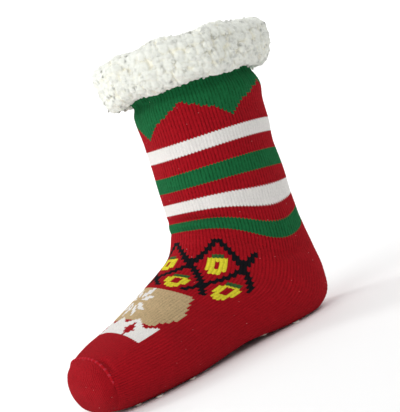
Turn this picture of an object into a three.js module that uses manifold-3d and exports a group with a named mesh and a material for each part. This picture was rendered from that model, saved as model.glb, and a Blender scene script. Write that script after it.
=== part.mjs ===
// A chunky knitted slipper sock in the form of a right foot, standing empty on its sole: one hollow
// knitted upper with heel pocket, sole and toe, a turned-down cuff of deep-pile fleece over its collar,
// and round silicone grips under the sole. Millimetres, +Z up, toe towards -Y, big-toe side towards +X.
import * as THREE from "three";
import { mergeVertices } from "three/addons/utils/BufferGeometryUtils.js";
import Module from "manifold-3d";

const wasm = await Module();
wasm.setup();

// Driving dimensions of the knitted upper
const FOOT_LENGTH = 250; // back of the heel to the tip of the toe, outside
const COLLAR_HEIGHT = 250; // knitted top edge above the floor
const SHAFT_DEPTH = 112; // front to back at the collar
const SHAFT_WIDTH = 106; // side to side at the collar
const INSTEP_HEIGHT = 92; // crease between leg and foot above the floor
const BALL_WIDTH = 102; // across the ball of the foot
const HEEL_OVERHANG = 4; // heel pocket behind the back of the leg
const BACK_LEAN = 13; // collar behind the back of the ankle
const ARCH_RISE = 4.5; // inner arch above the plane that the sole stands on
const TOE_SPRING = 3; // sole of the toe tip above that plane
const KNIT_WALL = 2.5; // thickness of the knitted fabric

// Driving dimensions of the cuff
const CUFF_DROP = 34; // lower edge of the cuff below the collar
const CUFF_RISE = 12; // top of the fold above the collar
const CUFF_PILE = 20; // pile standing out from the outside of the leg
const LINING_PILE = 7; // pile on the inside of the collar
const LINING_DROP = 24; // how far the inner half of the fold reaches down the leg
const LOCK_RADIUS = 8; // one lock of the fleece
const LOCK_PROUD = 3.2; // how far a lock stands out of the fold

// Driving dimensions of the grips
const GRIP_HEIGHT = 1.2;
const GRIP_DIAMETER = 6.4;
const GRIP_BEVEL = 0.5;
const GRIP_PITCH = 17; // between neighbours in a row
const FIT_GAP = 0.3; // clearance between neighbouring pieces
const CHORD_SLACK = 0.5; // more room in the cuff's slot, whose facets don't line up with the upper's

// How finely the solids are faceted
const RING_POINTS = 40;
const RINGS_PER_LEG_SECTION = 1;
const RINGS_PER_FOOT_SECTION = 2;
const CUFF_STEPS = 40;
const LOCKS_ROUND = 24;
const GRIP_SIDES = 10;

const SOLE_PLANE = GRIP_HEIGHT + FIT_GAP;
const BALL_HALF = BALL_WIDTH / 2;
const CREASE_ALONG = HEEL_OVERHANG + SHAFT_DEPTH;

// Leg sections, collar first. up: share of the height from the instep crease to the collar, for the front
// and the back of the section. depth and width: shares of the leg's own at the collar.
const LEG_SECTIONS = [
  { frontUp: 1.0, backUp: 1.0, depth: 1.0, width: 1.0 },
  { frontUp: 0.78, backUp: 0.78, depth: 0.985, width: 0.965 },
  { frontUp: 0.53, backUp: 0.52, depth: 0.975, width: 0.925 },
  { frontUp: 0.31, backUp: 0.28, depth: 0.985, width: 0.89 },
  { frontUp: 0.15, backUp: 0.07, depth: 0.998, width: 0.86 },
];

// Sections that fan round the heel and run down the foot. frontAlong: share of the way from the crease to
// the toe tip, frontUp: share of the instep's height, on top of the foot. backAlong: share of the foot's
// length, backUp: share of the instep's height, at the heel and under the sole. inner and outer: half
// widths as shares of the ball's. top and sole: how square the upper and lower half are.
const FOOT_SECTIONS = [
  { frontAlong: 0.02, frontUp: 1.11, backAlong: 0.008, backUp: 0.8, inner: 0.86, outer: 0.87, top: 2.1, sole: 2.1 },
  { frontAlong: 0.062, frontUp: 1.03, backAlong: 0.001, backUp: 0.54, inner: 0.82, outer: 0.83, top: 2.1, sole: 2.15 },
  { frontAlong: 0.108, frontUp: 0.985, backAlong: 0.0, backUp: 0.3, inner: 0.79, outer: 0.79, top: 2.1, sole: 2.3 },
  { frontAlong: 0.158, frontUp: 0.95, backAlong: 0.028, backUp: 0.075, inner: 0.77, outer: 0.775, top: 2.1, sole: 2.5 },
  { frontAlong: 0.215, frontUp: 0.912, backAlong: 0.115, backUp: -0.035, inner: 0.77, outer: 0.8, top: 2.1, sole: 2.7 },
  { frontAlong: 0.28, frontUp: 0.87, backAlong: 0.24, backUp: -0.04, inner: 0.775, outer: 0.845, top: 2.1, sole: 2.8 },
  { frontAlong: 0.36, frontUp: 0.815, backAlong: 0.385, backUp: -0.025, inner: 0.815, outer: 0.905, top: 2.1, sole: 2.8 },
  { frontAlong: 0.46, frontUp: 0.75, backAlong: 0.525, backUp: -0.025, inner: 0.9, outer: 0.965, top: 2.15, sole: 2.8 },
  { frontAlong: 0.565, frontUp: 0.69, backAlong: 0.65, backUp: -0.04, inner: 0.985, outer: 1.0, top: 2.2, sole: 2.8 },
  { frontAlong: 0.67, frontUp: 0.64, backAlong: 0.76, backUp: -0.04, inner: 1.0, outer: 0.965, top: 2.3, sole: 2.7 },
  { frontAlong: 0.775, frontUp: 0.6, backAlong: 0.86, backUp: -0.03, inner: 0.965, outer: 0.895, top: 2.4, sole: 2.6 },
  { frontAlong: 0.872, frontUp: 0.55, backAlong: 0.93, backUp: 0.0, inner: 0.89, outer: 0.79, top: 2.4, sole: 2.5 },
  { frontAlong: 0.945, frontUp: 0.48, backAlong: 0.975, backUp: 0.075, inner: 0.74, outer: 0.63, top: 2.35, sole: 2.4 },
  { frontAlong: 0.984, frontUp: 0.4, backAlong: 0.993, backUp: 0.165, inner: 0.5, outer: 0.38, top: 2.3, sole: 2.3 },
];

// Tip of the toe beyond the last section: its height, and its shift towards the big toe.
const TOE_TIP = { up: 0.28, inner: 0.07 };

// Where the flat sole lifts: inner arch and toe spring, as shares of the foot's length. The arch rises from
// start to full across the sole, as shares of half the ball's width.
const ARCH = { middle: 0.43, reach: 0.2, start: -0.5, full: 0.7 };
const SPRING_START = 0.84;

// How square the leg's oval section is: 2 would be an ellipse.
const LEG_SQUARENESS = 2.1;

// Profile of the folded cuff, round from the slot's outer lip. out: from the leg's outside, as a share of
// the pile (inside the leg, of the lining's pile). up: from the collar, as a share of the cuff's rise or drop.
const CUFF_OUTSIDE = [
  { out: 0.08, down: 0.9 },
  { out: 0.42, down: 1.0 },
  { out: 0.82, down: 0.88 },
  { out: 1.0, down: 0.6 },
  { out: 0.97, down: 0.2 },
];
const CUFF_TOP = [
  { out: 0.84, rise: 0.45 },
  { out: 0.45, rise: 0.9 },
  { out: 0.0, rise: 1.0 },
];
const CUFF_INSIDE = [
  { share: 0.75, rise: 0.5 },
  { share: 1.0, rise: -0.4 },
];
const LINING_EDGE = 0.8; // share of the lining's pile left at its lower edge

// Rows of locks over the fold, low to high. out: a place on the fold's outside, as a share of the pile.
// up: its height, in shares of the cuff's drop (negative) or rise. lift: how steeply a lock faces upwards.
const LOCK_ROWS = [
  { out: 0.7, up: -0.9, lift: -0.75 },
  { out: 1.0, up: -0.52, lift: -0.1 },
  { out: 0.97, up: -0.12, lift: 0.15 },
  { out: 0.52, up: 0.8, lift: 0.85 },
];

// How the locks differ from one another: the turn from one place and one row to the next, in radians, and the
// shares by which size and standing out vary.
const LOCK_VARIETY = { place: 2.4, row: 1.7, size: 0.13, proud: 0.3 };

// Rows of grips, heel to toe. along: share of the foot's length, count: studs across, middle: the row's
// middle, as a share of half the ball's width, towards the inner side.
const GRIP_ROWS = [
  { along: 0.09, count: 2, middle: 0.0 },
  { along: 0.15, count: 3, middle: 0.0 },
  { along: 0.215, count: 4, middle: -0.01 },
  { along: 0.28, count: 3, middle: -0.03 },
  { along: 0.345, count: 4, middle: -0.05 },
  { along: 0.41, count: 3, middle: -0.06 },
  { along: 0.475, count: 4, middle: -0.05 },
  { along: 0.54, count: 3, middle: -0.04 },
  { along: 0.605, count: 4, middle: -0.02 },
  { along: 0.67, count: 5, middle: 0.0 },
  { along: 0.735, count: 4, middle: 0.01 },
  { along: 0.8, count: 5, middle: 0.03 },
  { along: 0.865, count: 4, middle: 0.04 },
];

const smooth = (t) => THREE.MathUtils.smoothstep(t, 0, 1);

// Height that the sole is pressed flat to, at a place along the foot and across it (inner side positive).
function soleHeight(along, across) {
  const share = along / FOOT_LENGTH;
  const nearArch = smooth(1 - Math.abs(share - ARCH.middle) / ARCH.reach);
  const onInnerSide = smooth((across / BALL_HALF - ARCH.start) / (ARCH.full - ARCH.start));
  const spring = smooth((share - SPRING_START) / (1 - SPRING_START));
  return SOLE_PLANE + ARCH_RISE * nearArch * onInnerSide + TOE_SPRING * spring;
}

// One leg section as points in the plane of symmetry, its half widths and how square its halves are.
function legSection({ frontUp, backUp, depth, width }) {
  const legHeight = COLLAR_HEIGHT - INSTEP_HEIGHT;
  const backAlong = (up) => HEEL_OVERHANG - BACK_LEAN * up;
  const half = (SHAFT_WIDTH / 2) * width;
  return {
    front: new THREE.Vector2(backAlong(frontUp) + SHAFT_DEPTH * depth, INSTEP_HEIGHT + legHeight * frontUp),
    back: new THREE.Vector2(backAlong(backUp), INSTEP_HEIGHT + legHeight * backUp),
    inner: half,
    outer: half,
    top: LEG_SQUARENESS,
    sole: LEG_SQUARENESS,
  };
}

// One section of the foot or heel in the same form.
function footSection({ frontAlong, frontUp, backAlong, backUp, inner, outer, top, sole }) {
  const toeReach = FOOT_LENGTH - CREASE_ALONG;
  return {
    front: new THREE.Vector2(CREASE_ALONG + toeReach * frontAlong, INSTEP_HEIGHT * frontUp),
    back: new THREE.Vector2(FOOT_LENGTH * backAlong, INSTEP_HEIGHT * backUp),
    inner: BALL_HALF * inner,
    outer: BALL_HALF * outer,
    top,
    sole,
  };
}

// Smooth curves through the sections' ends, widths and squareness, read at any place between two of them.
function sectionReader(sections) {
  const curve = (pick) => new THREE.CatmullRomCurve3(sections.map(pick), false, "centripetal");
  const ends = {
    front: curve((s) => new THREE.Vector3(s.front.x, s.front.y, 0)),
    back: curve((s) => new THREE.Vector3(s.back.x, s.back.y, 0)),
    widths: curve((s) => new THREE.Vector3(s.inner, s.outer, 0)),
    powers: curve((s) => new THREE.Vector3(s.top, s.sole, 0)),
  };
  return (place) => {
    const t = place / (sections.length - 1);
    const front = ends.front.getPoint(t);
    const back = ends.back.getPoint(t);
    const widths = ends.widths.getPoint(t);
    const powers = ends.powers.getPoint(t);
    return {
      front: new THREE.Vector2(front.x, front.y),
      back: new THREE.Vector2(back.x, back.y),
      inner: widths.x,
      outer: widths.y,
      top: powers.x,
      sole: powers.y,
    };
  };
}

const superellipse = (value, power) => Math.sign(value) * Math.abs(value) ** (2 / power);

// The closed ring of points round one section, front first and the inner side next.
function sectionRing({ front, back, inner, outer, top, sole }) {
  const centre = front.clone().add(back).multiplyScalar(0.5);
  const depthwise = front.clone().sub(centre);
  const ring = [];
  for (let i = 0; i < RING_POINTS; i++) {
    const angle = (2 * Math.PI * i) / RING_POINTS;
    const power = Math.cos(angle) >= 0 ? top : sole;
    const across = (Math.sin(angle) >= 0 ? inner : outer) * superellipse(Math.sin(angle), power);
    const place = centre.clone().addScaledVector(depthwise, superellipse(Math.cos(angle), power));
    ring.push(new THREE.Vector3(across, -place.x, place.y));
  }
  return ring;
}

// The point that closes the toe.
const toeTip = () => new THREE.Vector3(BALL_HALF * TOE_TIP.inner, -FOOT_LENGTH, INSTEP_HEIGHT * TOE_TIP.up);

const pressFlat = (point) => {
  const floor = soleHeight(-point.y, point.x);
  return point.setZ(Math.max(point.z, floor));
};

// Vertex normals of a grid of closed rings, outward, from the facets round each point.
function gridNormals(rings, tip) {
  const { position, index } = gridArrays(rings, tip);
  const geometry = new THREE.BufferGeometry();
  geometry.setAttribute("position", new THREE.Float32BufferAttribute(position, 3));
  geometry.setIndex(index);
  geometry.computeVertexNormals();
  const normal = geometry.getAttribute("normal");
  return Array.from({ length: normal.count }, (_, i) => new THREE.Vector3().fromBufferAttribute(normal, i));
}

// Facets of a tube of rings that ends in one point, facing out.
function gridArrays(rings, tip) {
  const position = [...rings.flat(), tip].flatMap((p) => p.toArray());
  const index = [];
  const at = (ring, i) => ring * RING_POINTS + (i % RING_POINTS);
  for (let i = 0; i < RING_POINTS; i++) {
    for (let ring = 0; ring < rings.length - 1; ring++) {
      index.push(at(ring, i), at(ring + 1, i), at(ring, i + 1));
      index.push(at(ring, i + 1), at(ring + 1, i), at(ring + 1, i + 1));
    }
    const last = rings.length - 1;
    index.push(at(last, i), rings.length * RING_POINTS, at(last, i + 1));
  }
  return { position, index };
}

// The knitted upper: outer tube, inner tube one wall inside it, and the rim that joins them at the collar.
function knitUpperGeometry(outer) {
  const { position, index } = gridArrays(outer.rings, outer.tip);
  const outside = [...outer.rings.flat(), outer.tip];
  const inside = outside.map((point, i) => point.clone().addScaledVector(outer.normals[i], -KNIT_WALL));
  for (let i = 0; i < RING_POINTS; i++) inside[i].z = outside[i].z;
  const innerStart = outside.length;
  const innerIndex = [];
  for (let i = 0; i < index.length; i += 3) {
    innerIndex.push(index[i] + innerStart, index[i + 2] + innerStart, index[i + 1] + innerStart);
  }
  const rim = [];
  for (let i = 0; i < RING_POINTS; i++) {
    const next = (i + 1) % RING_POINTS;
    rim.push(i, next, innerStart + i, next, innerStart + next, innerStart + i);
  }
  const geometry = new THREE.BufferGeometry();
  const innerPosition = inside.flatMap((p) => p.toArray());
  geometry.setAttribute("position", new THREE.Float32BufferAttribute([...position, ...innerPosition], 3));
  geometry.setIndex([...index, ...innerIndex, ...rim]);
  return geometry;
}

// Every ring of the upper's outside, from the collar to the tip of the toe.
function upperOutside() {
  const sections = [...LEG_SECTIONS.map(legSection), ...FOOT_SECTIONS.map(footSection)];
  const read = sectionReader(sections);
  const places = [];
  for (let i = 0; i < sections.length - 1; i++) {
    const steps = i < LEG_SECTIONS.length - 1 ? RINGS_PER_LEG_SECTION : RINGS_PER_FOOT_SECTION;
    for (let step = 0; step < steps; step++) places.push(i + step / steps);
  }
  places.push(sections.length - 1);
  const rings = places.map((place) => sectionRing(read(place)).map(pressFlat));
  const tip = toeTip();
  return { rings, tip, normals: gridNormals(rings, tip) };
}

// The leg's outline at a height above the collar (negative is below it), pushed out by a distance.
function legOutline(height, out, angle) {
  const legHeight = COLLAR_HEIGHT - INSTEP_HEIGHT;
  const rows = LEG_SECTIONS.map((row) => ({ z: INSTEP_HEIGHT + legHeight * row.frontUp, section: legSection(row) }));
  const z = COLLAR_HEIGHT + height;
  const below = Math.max(1, rows.findIndex((row) => row.z <= z));
  const [upper, lower] = [rows[below - 1], rows[below]];
  const share = (upper.z - z) / (upper.z - lower.z);
  const between = (pick) => THREE.MathUtils.lerp(pick(upper.section), pick(lower.section), share);
  const front = between((s) => s.front.x);
  const back = between((s) => s.back.x);
  const half = between((s) => s.inner);
  const depth = (front - back) / 2;
  const outwards = new THREE.Vector2(Math.sin(angle) / half, Math.cos(angle) / depth).normalize();
  const across = half * superellipse(Math.sin(angle), LEG_SQUARENESS) + out * outwards.x;
  const along = (front + back) / 2 + depth * superellipse(Math.cos(angle), LEG_SQUARENESS) + out * outwards.y;
  return new THREE.Vector3(across, -along, z);
}

// The cuff's section: a hairpin that folds over the knitted edge, as distances out from the leg and up.
function cuffProfile() {
  const slotIn = -(KNIT_WALL + FIT_GAP + CHORD_SLACK);
  const slotOut = FIT_GAP + CHORD_SLACK;
  const inside = (share) => slotIn - LINING_PILE * share;
  return [
    { out: slotOut, up: -CUFF_DROP * CUFF_OUTSIDE[0].down },
    ...CUFF_OUTSIDE.slice(1).map(({ out, down }) => ({ out: CUFF_PILE * out, up: -CUFF_DROP * down })),
    ...CUFF_TOP.map(({ out, rise }) => ({ out: CUFF_PILE * out, up: CUFF_RISE * rise })),
    ...CUFF_INSIDE.map(({ share, rise }) => ({ out: inside(share), up: CUFF_RISE * rise })),
    { out: inside(LINING_EDGE), up: -LINING_DROP },
    { out: slotIn, up: -LINING_DROP },
    { out: slotIn, up: FIT_GAP },
    { out: slotOut, up: FIT_GAP },
  ];
}

function solidOf(geometry) {
  const bare = geometry.clone();
  bare.deleteAttribute("normal");
  bare.deleteAttribute("uv");
  const merged = mergeVertices(bare, 1e-4);
  return new wasm.Manifold(
    new wasm.Mesh({
      numProp: 3,
      vertProperties: new Float32Array(merged.getAttribute("position").array),
      triVerts: new Uint32Array(merged.index.array),
    }),
  );
}

function geometryOf(solid) {
  const mesh = solid.getMesh();
  const geometry = new THREE.BufferGeometry();
  geometry.setAttribute("position", new THREE.Float32BufferAttribute(mesh.vertProperties, 3));
  geometry.setIndex(new THREE.BufferAttribute(mesh.triVerts, 1));
  return geometry;
}

// The folded fleece as a closed ring of the hairpin section.
function cuffFold() {
  const profile = cuffProfile();
  const position = [];
  const index = [];
  const at = (step, i) => (step % CUFF_STEPS) * profile.length + (i % profile.length);
  for (let step = 0; step < CUFF_STEPS; step++) {
    const angle = (2 * Math.PI * step) / CUFF_STEPS;
    profile.forEach(({ out, up }, i) => {
      position.push(...legOutline(up, out, angle).toArray());
      index.push(at(step, i), at(step + 1, i), at(step, i + 1));
      index.push(at(step, i + 1), at(step + 1, i), at(step + 1, i + 1));
    });
  }
  const geometry = new THREE.BufferGeometry();
  geometry.setAttribute("position", new THREE.Float32BufferAttribute(position, 3));
  geometry.setIndex(index);
  return solidOf(geometry);
}

// One lock: a faceted ball sunk into the fold, turned and sized a little differently from its neighbours.
function lock(row, place) {
  const { out, up, lift } = LOCK_ROWS[row];
  const angle = (2 * Math.PI * (place + 0.5 * (row % 2))) / LOCKS_ROUND;
  const turn = LOCK_VARIETY.place * place + LOCK_VARIETY.row * row;
  const size = LOCK_RADIUS * (1 + LOCK_VARIETY.size * Math.sin(3.1 * turn));
  const sunk = size - LOCK_PROUD * (1 + LOCK_VARIETY.proud * Math.sin(1.9 * turn));
  const height = (up < 0 ? CUFF_DROP : CUFF_RISE) * up - sunk * lift;
  const ball = new THREE.IcosahedronGeometry(size, 0);
  ball.rotateX(turn);
  ball.rotateY(0.7 * turn);
  ball.translate(...legOutline(height, CUFF_PILE * out - sunk * Math.sqrt(1 - lift * lift), angle).toArray());
  return solidOf(ball);
}

function pileCuffGeometry() {
  const locks = LOCK_ROWS.flatMap((_, row) => Array.from({ length: LOCKS_ROUND }, (__, place) => lock(row, place)));
  const joined = wasm.Manifold.union(locks);
  return geometryOf(cuffFold().add(joined.subtract(knitClearance())));
}

// The knitted leg's top with its clearance, which no lock reaches into.
function knitClearance() {
  const position = [];
  const index = [];
  const heights = [-CUFF_DROP - LOCK_RADIUS * 2, FIT_GAP];
  heights.forEach((height) => {
    for (let step = 0; step < CUFF_STEPS; step++) {
      const angle = (2 * Math.PI * step) / CUFF_STEPS;
      position.push(...legOutline(height, FIT_GAP + CHORD_SLACK, angle).toArray());
    }
  });
  for (let step = 0; step < CUFF_STEPS; step++) {
    const next = (step + 1) % CUFF_STEPS;
    index.push(step, next, CUFF_STEPS + step, next, CUFF_STEPS + next, CUFF_STEPS + step);
    if (step > 0 && step < CUFF_STEPS - 1) {
      index.push(0, step + 1, step, CUFF_STEPS, CUFF_STEPS + step, CUFF_STEPS + step + 1);
    }
  }
  const geometry = new THREE.BufferGeometry();
  geometry.setAttribute("position", new THREE.Float32BufferAttribute(position, 3));
  geometry.setIndex(index);
  return solidOf(geometry);
}

// One grip: a bevelled disc with its flat face down.
function gripGeometry() {
  const radius = GRIP_DIAMETER / 2;
  const profile = [
    new THREE.Vector2(0, -GRIP_HEIGHT),
    new THREE.Vector2(radius - GRIP_BEVEL, -GRIP_HEIGHT),
    new THREE.Vector2(radius, 0),
    new THREE.Vector2(0, 0),
  ];
  const geometry = new THREE.LatheGeometry(profile, GRIP_SIDES);
  geometry.rotateX(Math.PI / 2);
  return geometry;
}

// The sole's own slope at a place, so that a grip lies against it.
function soleNormal(along, across) {
  const step = 1;
  const slopeAlong = (soleHeight(along + step, across) - soleHeight(along - step, across)) / (2 * step);
  const slopeAcross = (soleHeight(along, across + step) - soleHeight(along, across - step)) / (2 * step);
  return new THREE.Vector3(-slopeAcross, slopeAlong, 1).normalize();
}

function grips(material) {
  const group = new THREE.Group();
  GRIP_ROWS.forEach(({ along, count, middle }, row) => {
    for (let place = 0; place < count; place++) {
      const atAlong = FOOT_LENGTH * along;
      const across = BALL_HALF * middle + GRIP_PITCH * (place - (count - 1) / 2);
      const normal = soleNormal(atAlong, across);
      const grip = new THREE.Mesh(gripGeometry(), material);
      grip.name = `grip_${String(row + 1).padStart(2, "0")}_${place + 1}`;
      grip.position.set(across, -atAlong, soleHeight(atAlong, across) - FIT_GAP);
      grip.quaternion.setFromUnitVectors(new THREE.Vector3(0, 0, 1), normal);
      group.add(grip);
    }
  });
  return group;
}

const knitMaterial = new THREE.MeshStandardMaterial({ color: 0xa81622, roughness: 0.95, metalness: 0 });
const pileMaterial = new THREE.MeshStandardMaterial({ color: 0xf0efe8, roughness: 1, metalness: 0 });
const gripMaterial = new THREE.MeshStandardMaterial({ color: 0xe9e6de, roughness: 0.45, metalness: 0 });

const upper = new THREE.Mesh(knitUpperGeometry(upperOutside()), knitMaterial);
upper.name = "knit_upper";
const cuff = new THREE.Mesh(pileCuffGeometry(), pileMaterial);
cuff.name = "pile_cuff";

const sock = new THREE.Group();
sock.add(upper, cuff, grips(gripMaterial));

// The origin is under the middle of the whole sock, on the plane that it stands on.
const box = new THREE.Box3().setFromObject(sock);
const middle = box.getCenter(new THREE.Vector3());
sock.position.set(-middle.x, -middle.y, 0);

export default sock;
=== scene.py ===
"""A chunky knitted slipper sock with a turned-down sherpa cuff, standing empty on its grips.

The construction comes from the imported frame. This script knits the visible fabric stitch by stitch over
the same last, folds the pile cuff over its collar, lines it, and lights it in a plain studio.
Lengths are millimetres up to the point where a mesh is made, and metres in Blender.
"""

import logging
import math
from dataclasses import dataclass, field
from enum import Enum
from typing import NamedTuple

import bpy
import numpy as np
from mathutils import Matrix, Vector, kdtree


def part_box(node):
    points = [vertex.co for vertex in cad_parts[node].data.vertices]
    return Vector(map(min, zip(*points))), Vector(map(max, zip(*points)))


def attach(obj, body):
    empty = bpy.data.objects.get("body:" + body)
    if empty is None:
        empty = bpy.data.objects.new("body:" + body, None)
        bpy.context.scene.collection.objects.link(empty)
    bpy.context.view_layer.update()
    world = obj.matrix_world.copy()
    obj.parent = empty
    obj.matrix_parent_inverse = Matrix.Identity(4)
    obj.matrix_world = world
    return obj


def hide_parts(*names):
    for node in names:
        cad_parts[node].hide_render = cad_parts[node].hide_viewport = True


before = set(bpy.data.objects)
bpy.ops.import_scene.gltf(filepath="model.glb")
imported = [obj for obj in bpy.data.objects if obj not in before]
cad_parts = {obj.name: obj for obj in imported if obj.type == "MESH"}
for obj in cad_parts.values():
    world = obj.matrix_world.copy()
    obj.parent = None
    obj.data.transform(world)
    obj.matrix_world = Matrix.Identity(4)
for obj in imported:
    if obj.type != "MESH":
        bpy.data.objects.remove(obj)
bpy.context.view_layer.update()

log = logging.getLogger("slipper_sock")

MM = 0.001
SEED = 27


# Colours and shader nodes


def linear(hex_colour: str) -> tuple[float, float, float, float]:
    """Turns an sRGB hex colour to linear RGBA.

    Args:
        hex_colour: Six hex digits, such as "a81622".

    Returns:
        Linear red, green, blue and an alpha of 1.
    """
    channels = [int(hex_colour[i:i + 2], 16) / 255 for i in (0, 2, 4)]
    bent = [c / 12.92 if c <= 0.04045 else ((c + 0.055) / 1.055) ** 2.4 for c in channels]
    return (*bent, 1.0)


def add_node(
    tree: bpy.types.NodeTree,
    kind: str,
    settings: dict[str, object] | None = None,
    inputs: dict[str | int, object] | None = None,
) -> bpy.types.Node:
    """Adds one shader node with its settings and links.

    Args:
        tree: The node tree that gets the node.
        kind: The node's type name.
        settings: Attributes of the node.
        inputs: For each input, by name or number, a value or the output socket that feeds it.

    Returns:
        The new node.
    """
    node = tree.nodes.new(kind)
    for name, value in (settings or {}).items():
        setattr(node, name, value)
    for name, value in (inputs or {}).items():
        if isinstance(value, bpy.types.NodeSocket):
            tree.links.new(value, node.inputs[name])
        else:
            node.inputs[name].default_value = value
    return node


def new_material(
    name: str, values: dict[str, object],
) -> tuple[bpy.types.Material, bpy.types.NodeTree, bpy.types.Node, bpy.types.Node]:
    """Makes a node material that holds only a shader and its output.

    Args:
        name: The material's name.
        values: The shader's constant values, by input.

    Returns:
        The material, its node tree, its Principled shader and its texture coordinate node.
    """
    material = bpy.data.materials.new(name)
    material.use_nodes = True
    tree = material.node_tree
    tree.nodes.clear()
    shader = add_node(tree, "ShaderNodeBsdfPrincipled", inputs=values)
    add_node(tree, "ShaderNodeOutputMaterial", inputs={"Surface": shader.outputs["BSDF"]})
    return material, tree, shader, add_node(tree, "ShaderNodeTexCoord")


class Grain(NamedTuple):
    """A fine grain: its size, how many finer ones lie on it, its relief, and how much of that shows."""

    size_mm: float
    detail: float
    relief_mm: float
    strength: float

    def add(self, tree: bpy.types.NodeTree, shader: bpy.types.Node, place: bpy.types.Node) -> bpy.types.Node:
        """Lets the grain stand out of a surface.

        Args:
            tree: The material's node tree.
            shader: Its shader.
            place: Its texture coordinates.

        Returns:
            The noise that makes the grain.
        """
        noise = add_node(tree, "ShaderNodeTexNoise", None, {
            "Vector": place.outputs["Object"], "Scale": 1 / (self.size_mm * MM), "Detail": self.detail})
        bump = add_node(tree, "ShaderNodeBump", None, {
            "Height": noise.outputs["Fac"], "Distance": self.relief_mm * MM, "Strength": self.strength})
        tree.links.new(bump.outputs["Normal"], shader.inputs["Normal"])
        return noise


class Yarn(Enum):
    """The dyed acrylic yarns of the colourwork, by sRGB hex colour."""

    RED = "a8121e"
    GREEN = "1a6b3d"
    WHITE = "f3f0ec"
    TAN = "cbb187"
    BLACK = "15161a"
    YELLOW = "e6da38"
    MOSS = "3c6234"


@dataclass(frozen=True)
class AcrylicStockinette:
    """Brushed acrylic yarn knitted in stockinette: matt, with a soft bloom where loose fibres catch light.

    The stitch colours come from the mesh, one yarn a stitch. Each yarn is two plies, which show as fine
    slanting ridges on both legs of a stitch, and a few white fibres of the lining poke through the red.
    """

    ply_ridges_a_stitch: float = 3.0
    ply_slant: float = 1.6
    ply_relief_mm: float = 0.12
    fibre_mm: float = 0.5
    fibre_relief_mm: float = 0.1
    melange: float = 0.14
    fleck_spacing_mm: float = 7.0
    fleck_radius_mm: float = 0.42
    fleck_weight: float = 0.6
    fleck_colour: str = "e8b9b6"

    def material(self) -> bpy.types.Material:
        """Returns the yarn's material."""
        material, tree, shader, place = new_material("acrylic_stockinette", {
            "Roughness": 0.94, "IOR": 1.49, "Specular IOR Level": 0.06,
            "Sheen Weight": 0.02, "Sheen Roughness": 0.55})
        dye = add_node(tree, "ShaderNodeAttribute", {"attribute_name": "yarn"})
        fibres = add_node(tree, "ShaderNodeTexNoise", {"noise_dimensions": "3D"}, {
            "Vector": place.outputs["Object"], "Scale": 1 / (self.fibre_mm * MM), "Detail": 2.0})
        melange = add_node(tree, "ShaderNodeMapRange", None, {
            "Value": fibres.outputs["Fac"], "From Min": 0.3, "From Max": 0.7,
            "To Min": 1 - self.melange, "To Max": 1 + self.melange})
        blend = add_node(tree, "ShaderNodeVectorMath", {"operation": "SCALE"}, {
            0: dye.outputs["Color"], "Scale": melange.outputs["Result"]})
        cells = add_node(tree, "ShaderNodeTexVoronoi", {"feature": "F1"}, {
            "Vector": place.outputs["Object"], "Scale": 1 / (self.fleck_spacing_mm * MM)})
        reach = self.fleck_radius_mm / self.fleck_spacing_mm
        speck = add_node(tree, "ShaderNodeMapRange", None, {
            "Value": cells.outputs["Distance"], "From Min": reach, "From Max": reach / 2,
            "To Min": 0.0, "To Max": self.fleck_weight})
        on_red = add_node(tree, "ShaderNodeMath", {"operation": "MULTIPLY"}, {
            0: speck.outputs["Result"], 1: dye.outputs["Alpha"]})
        flecked = add_node(tree, "ShaderNodeMix", {"data_type": "RGBA"}, {
            "Factor": on_red.outputs["Value"], "A": blend.outputs["Vector"], "B": linear(self.fleck_colour)})
        tree.links.new(flecked.outputs["Result"], shader.inputs["Base Color"])
        tree.links.new(self.relief(tree, place, fibres).outputs["Normal"], shader.inputs["Normal"])
        return material

    def relief(
        self, tree: bpy.types.NodeTree, place: bpy.types.Node, fibres: bpy.types.Node,
    ) -> bpy.types.Node:
        """Adds the bump of plies and loose fibres.

        Args:
            tree: The material's node tree.
            place: Its texture coordinates, whose UV counts wales and courses.
            fibres: The noise of single fibres.

        Returns:
            The bump node.
        """
        split = add_node(tree, "ShaderNodeSeparateXYZ", None, {0: place.outputs["UV"]})
        leg = add_node(tree, "ShaderNodeMath", {"operation": "PINGPONG"}, {0: split.outputs["X"], 1: 0.5})
        slope = add_node(tree, "ShaderNodeMath", {"operation": "MULTIPLY_ADD"}, {
            0: leg.outputs["Value"], 1: -self.ply_slant, 2: split.outputs["Y"]})
        turn = add_node(tree, "ShaderNodeMath", {"operation": "MULTIPLY"}, {
            0: slope.outputs["Value"], 1: 2 * math.pi * self.ply_ridges_a_stitch})
        plies = add_node(tree, "ShaderNodeMath", {"operation": "SINE"}, {0: turn.outputs["Value"]})
        height = add_node(tree, "ShaderNodeMath", {"operation": "MULTIPLY_ADD"}, {
            0: fibres.outputs["Fac"], 1: 2 * self.fibre_relief_mm / self.ply_relief_mm,
            2: plies.outputs["Value"]})
        return add_node(tree, "ShaderNodeBump", None, {
            "Height": height.outputs["Value"], "Distance": self.ply_relief_mm * MM, "Strength": 0.6})


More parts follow.
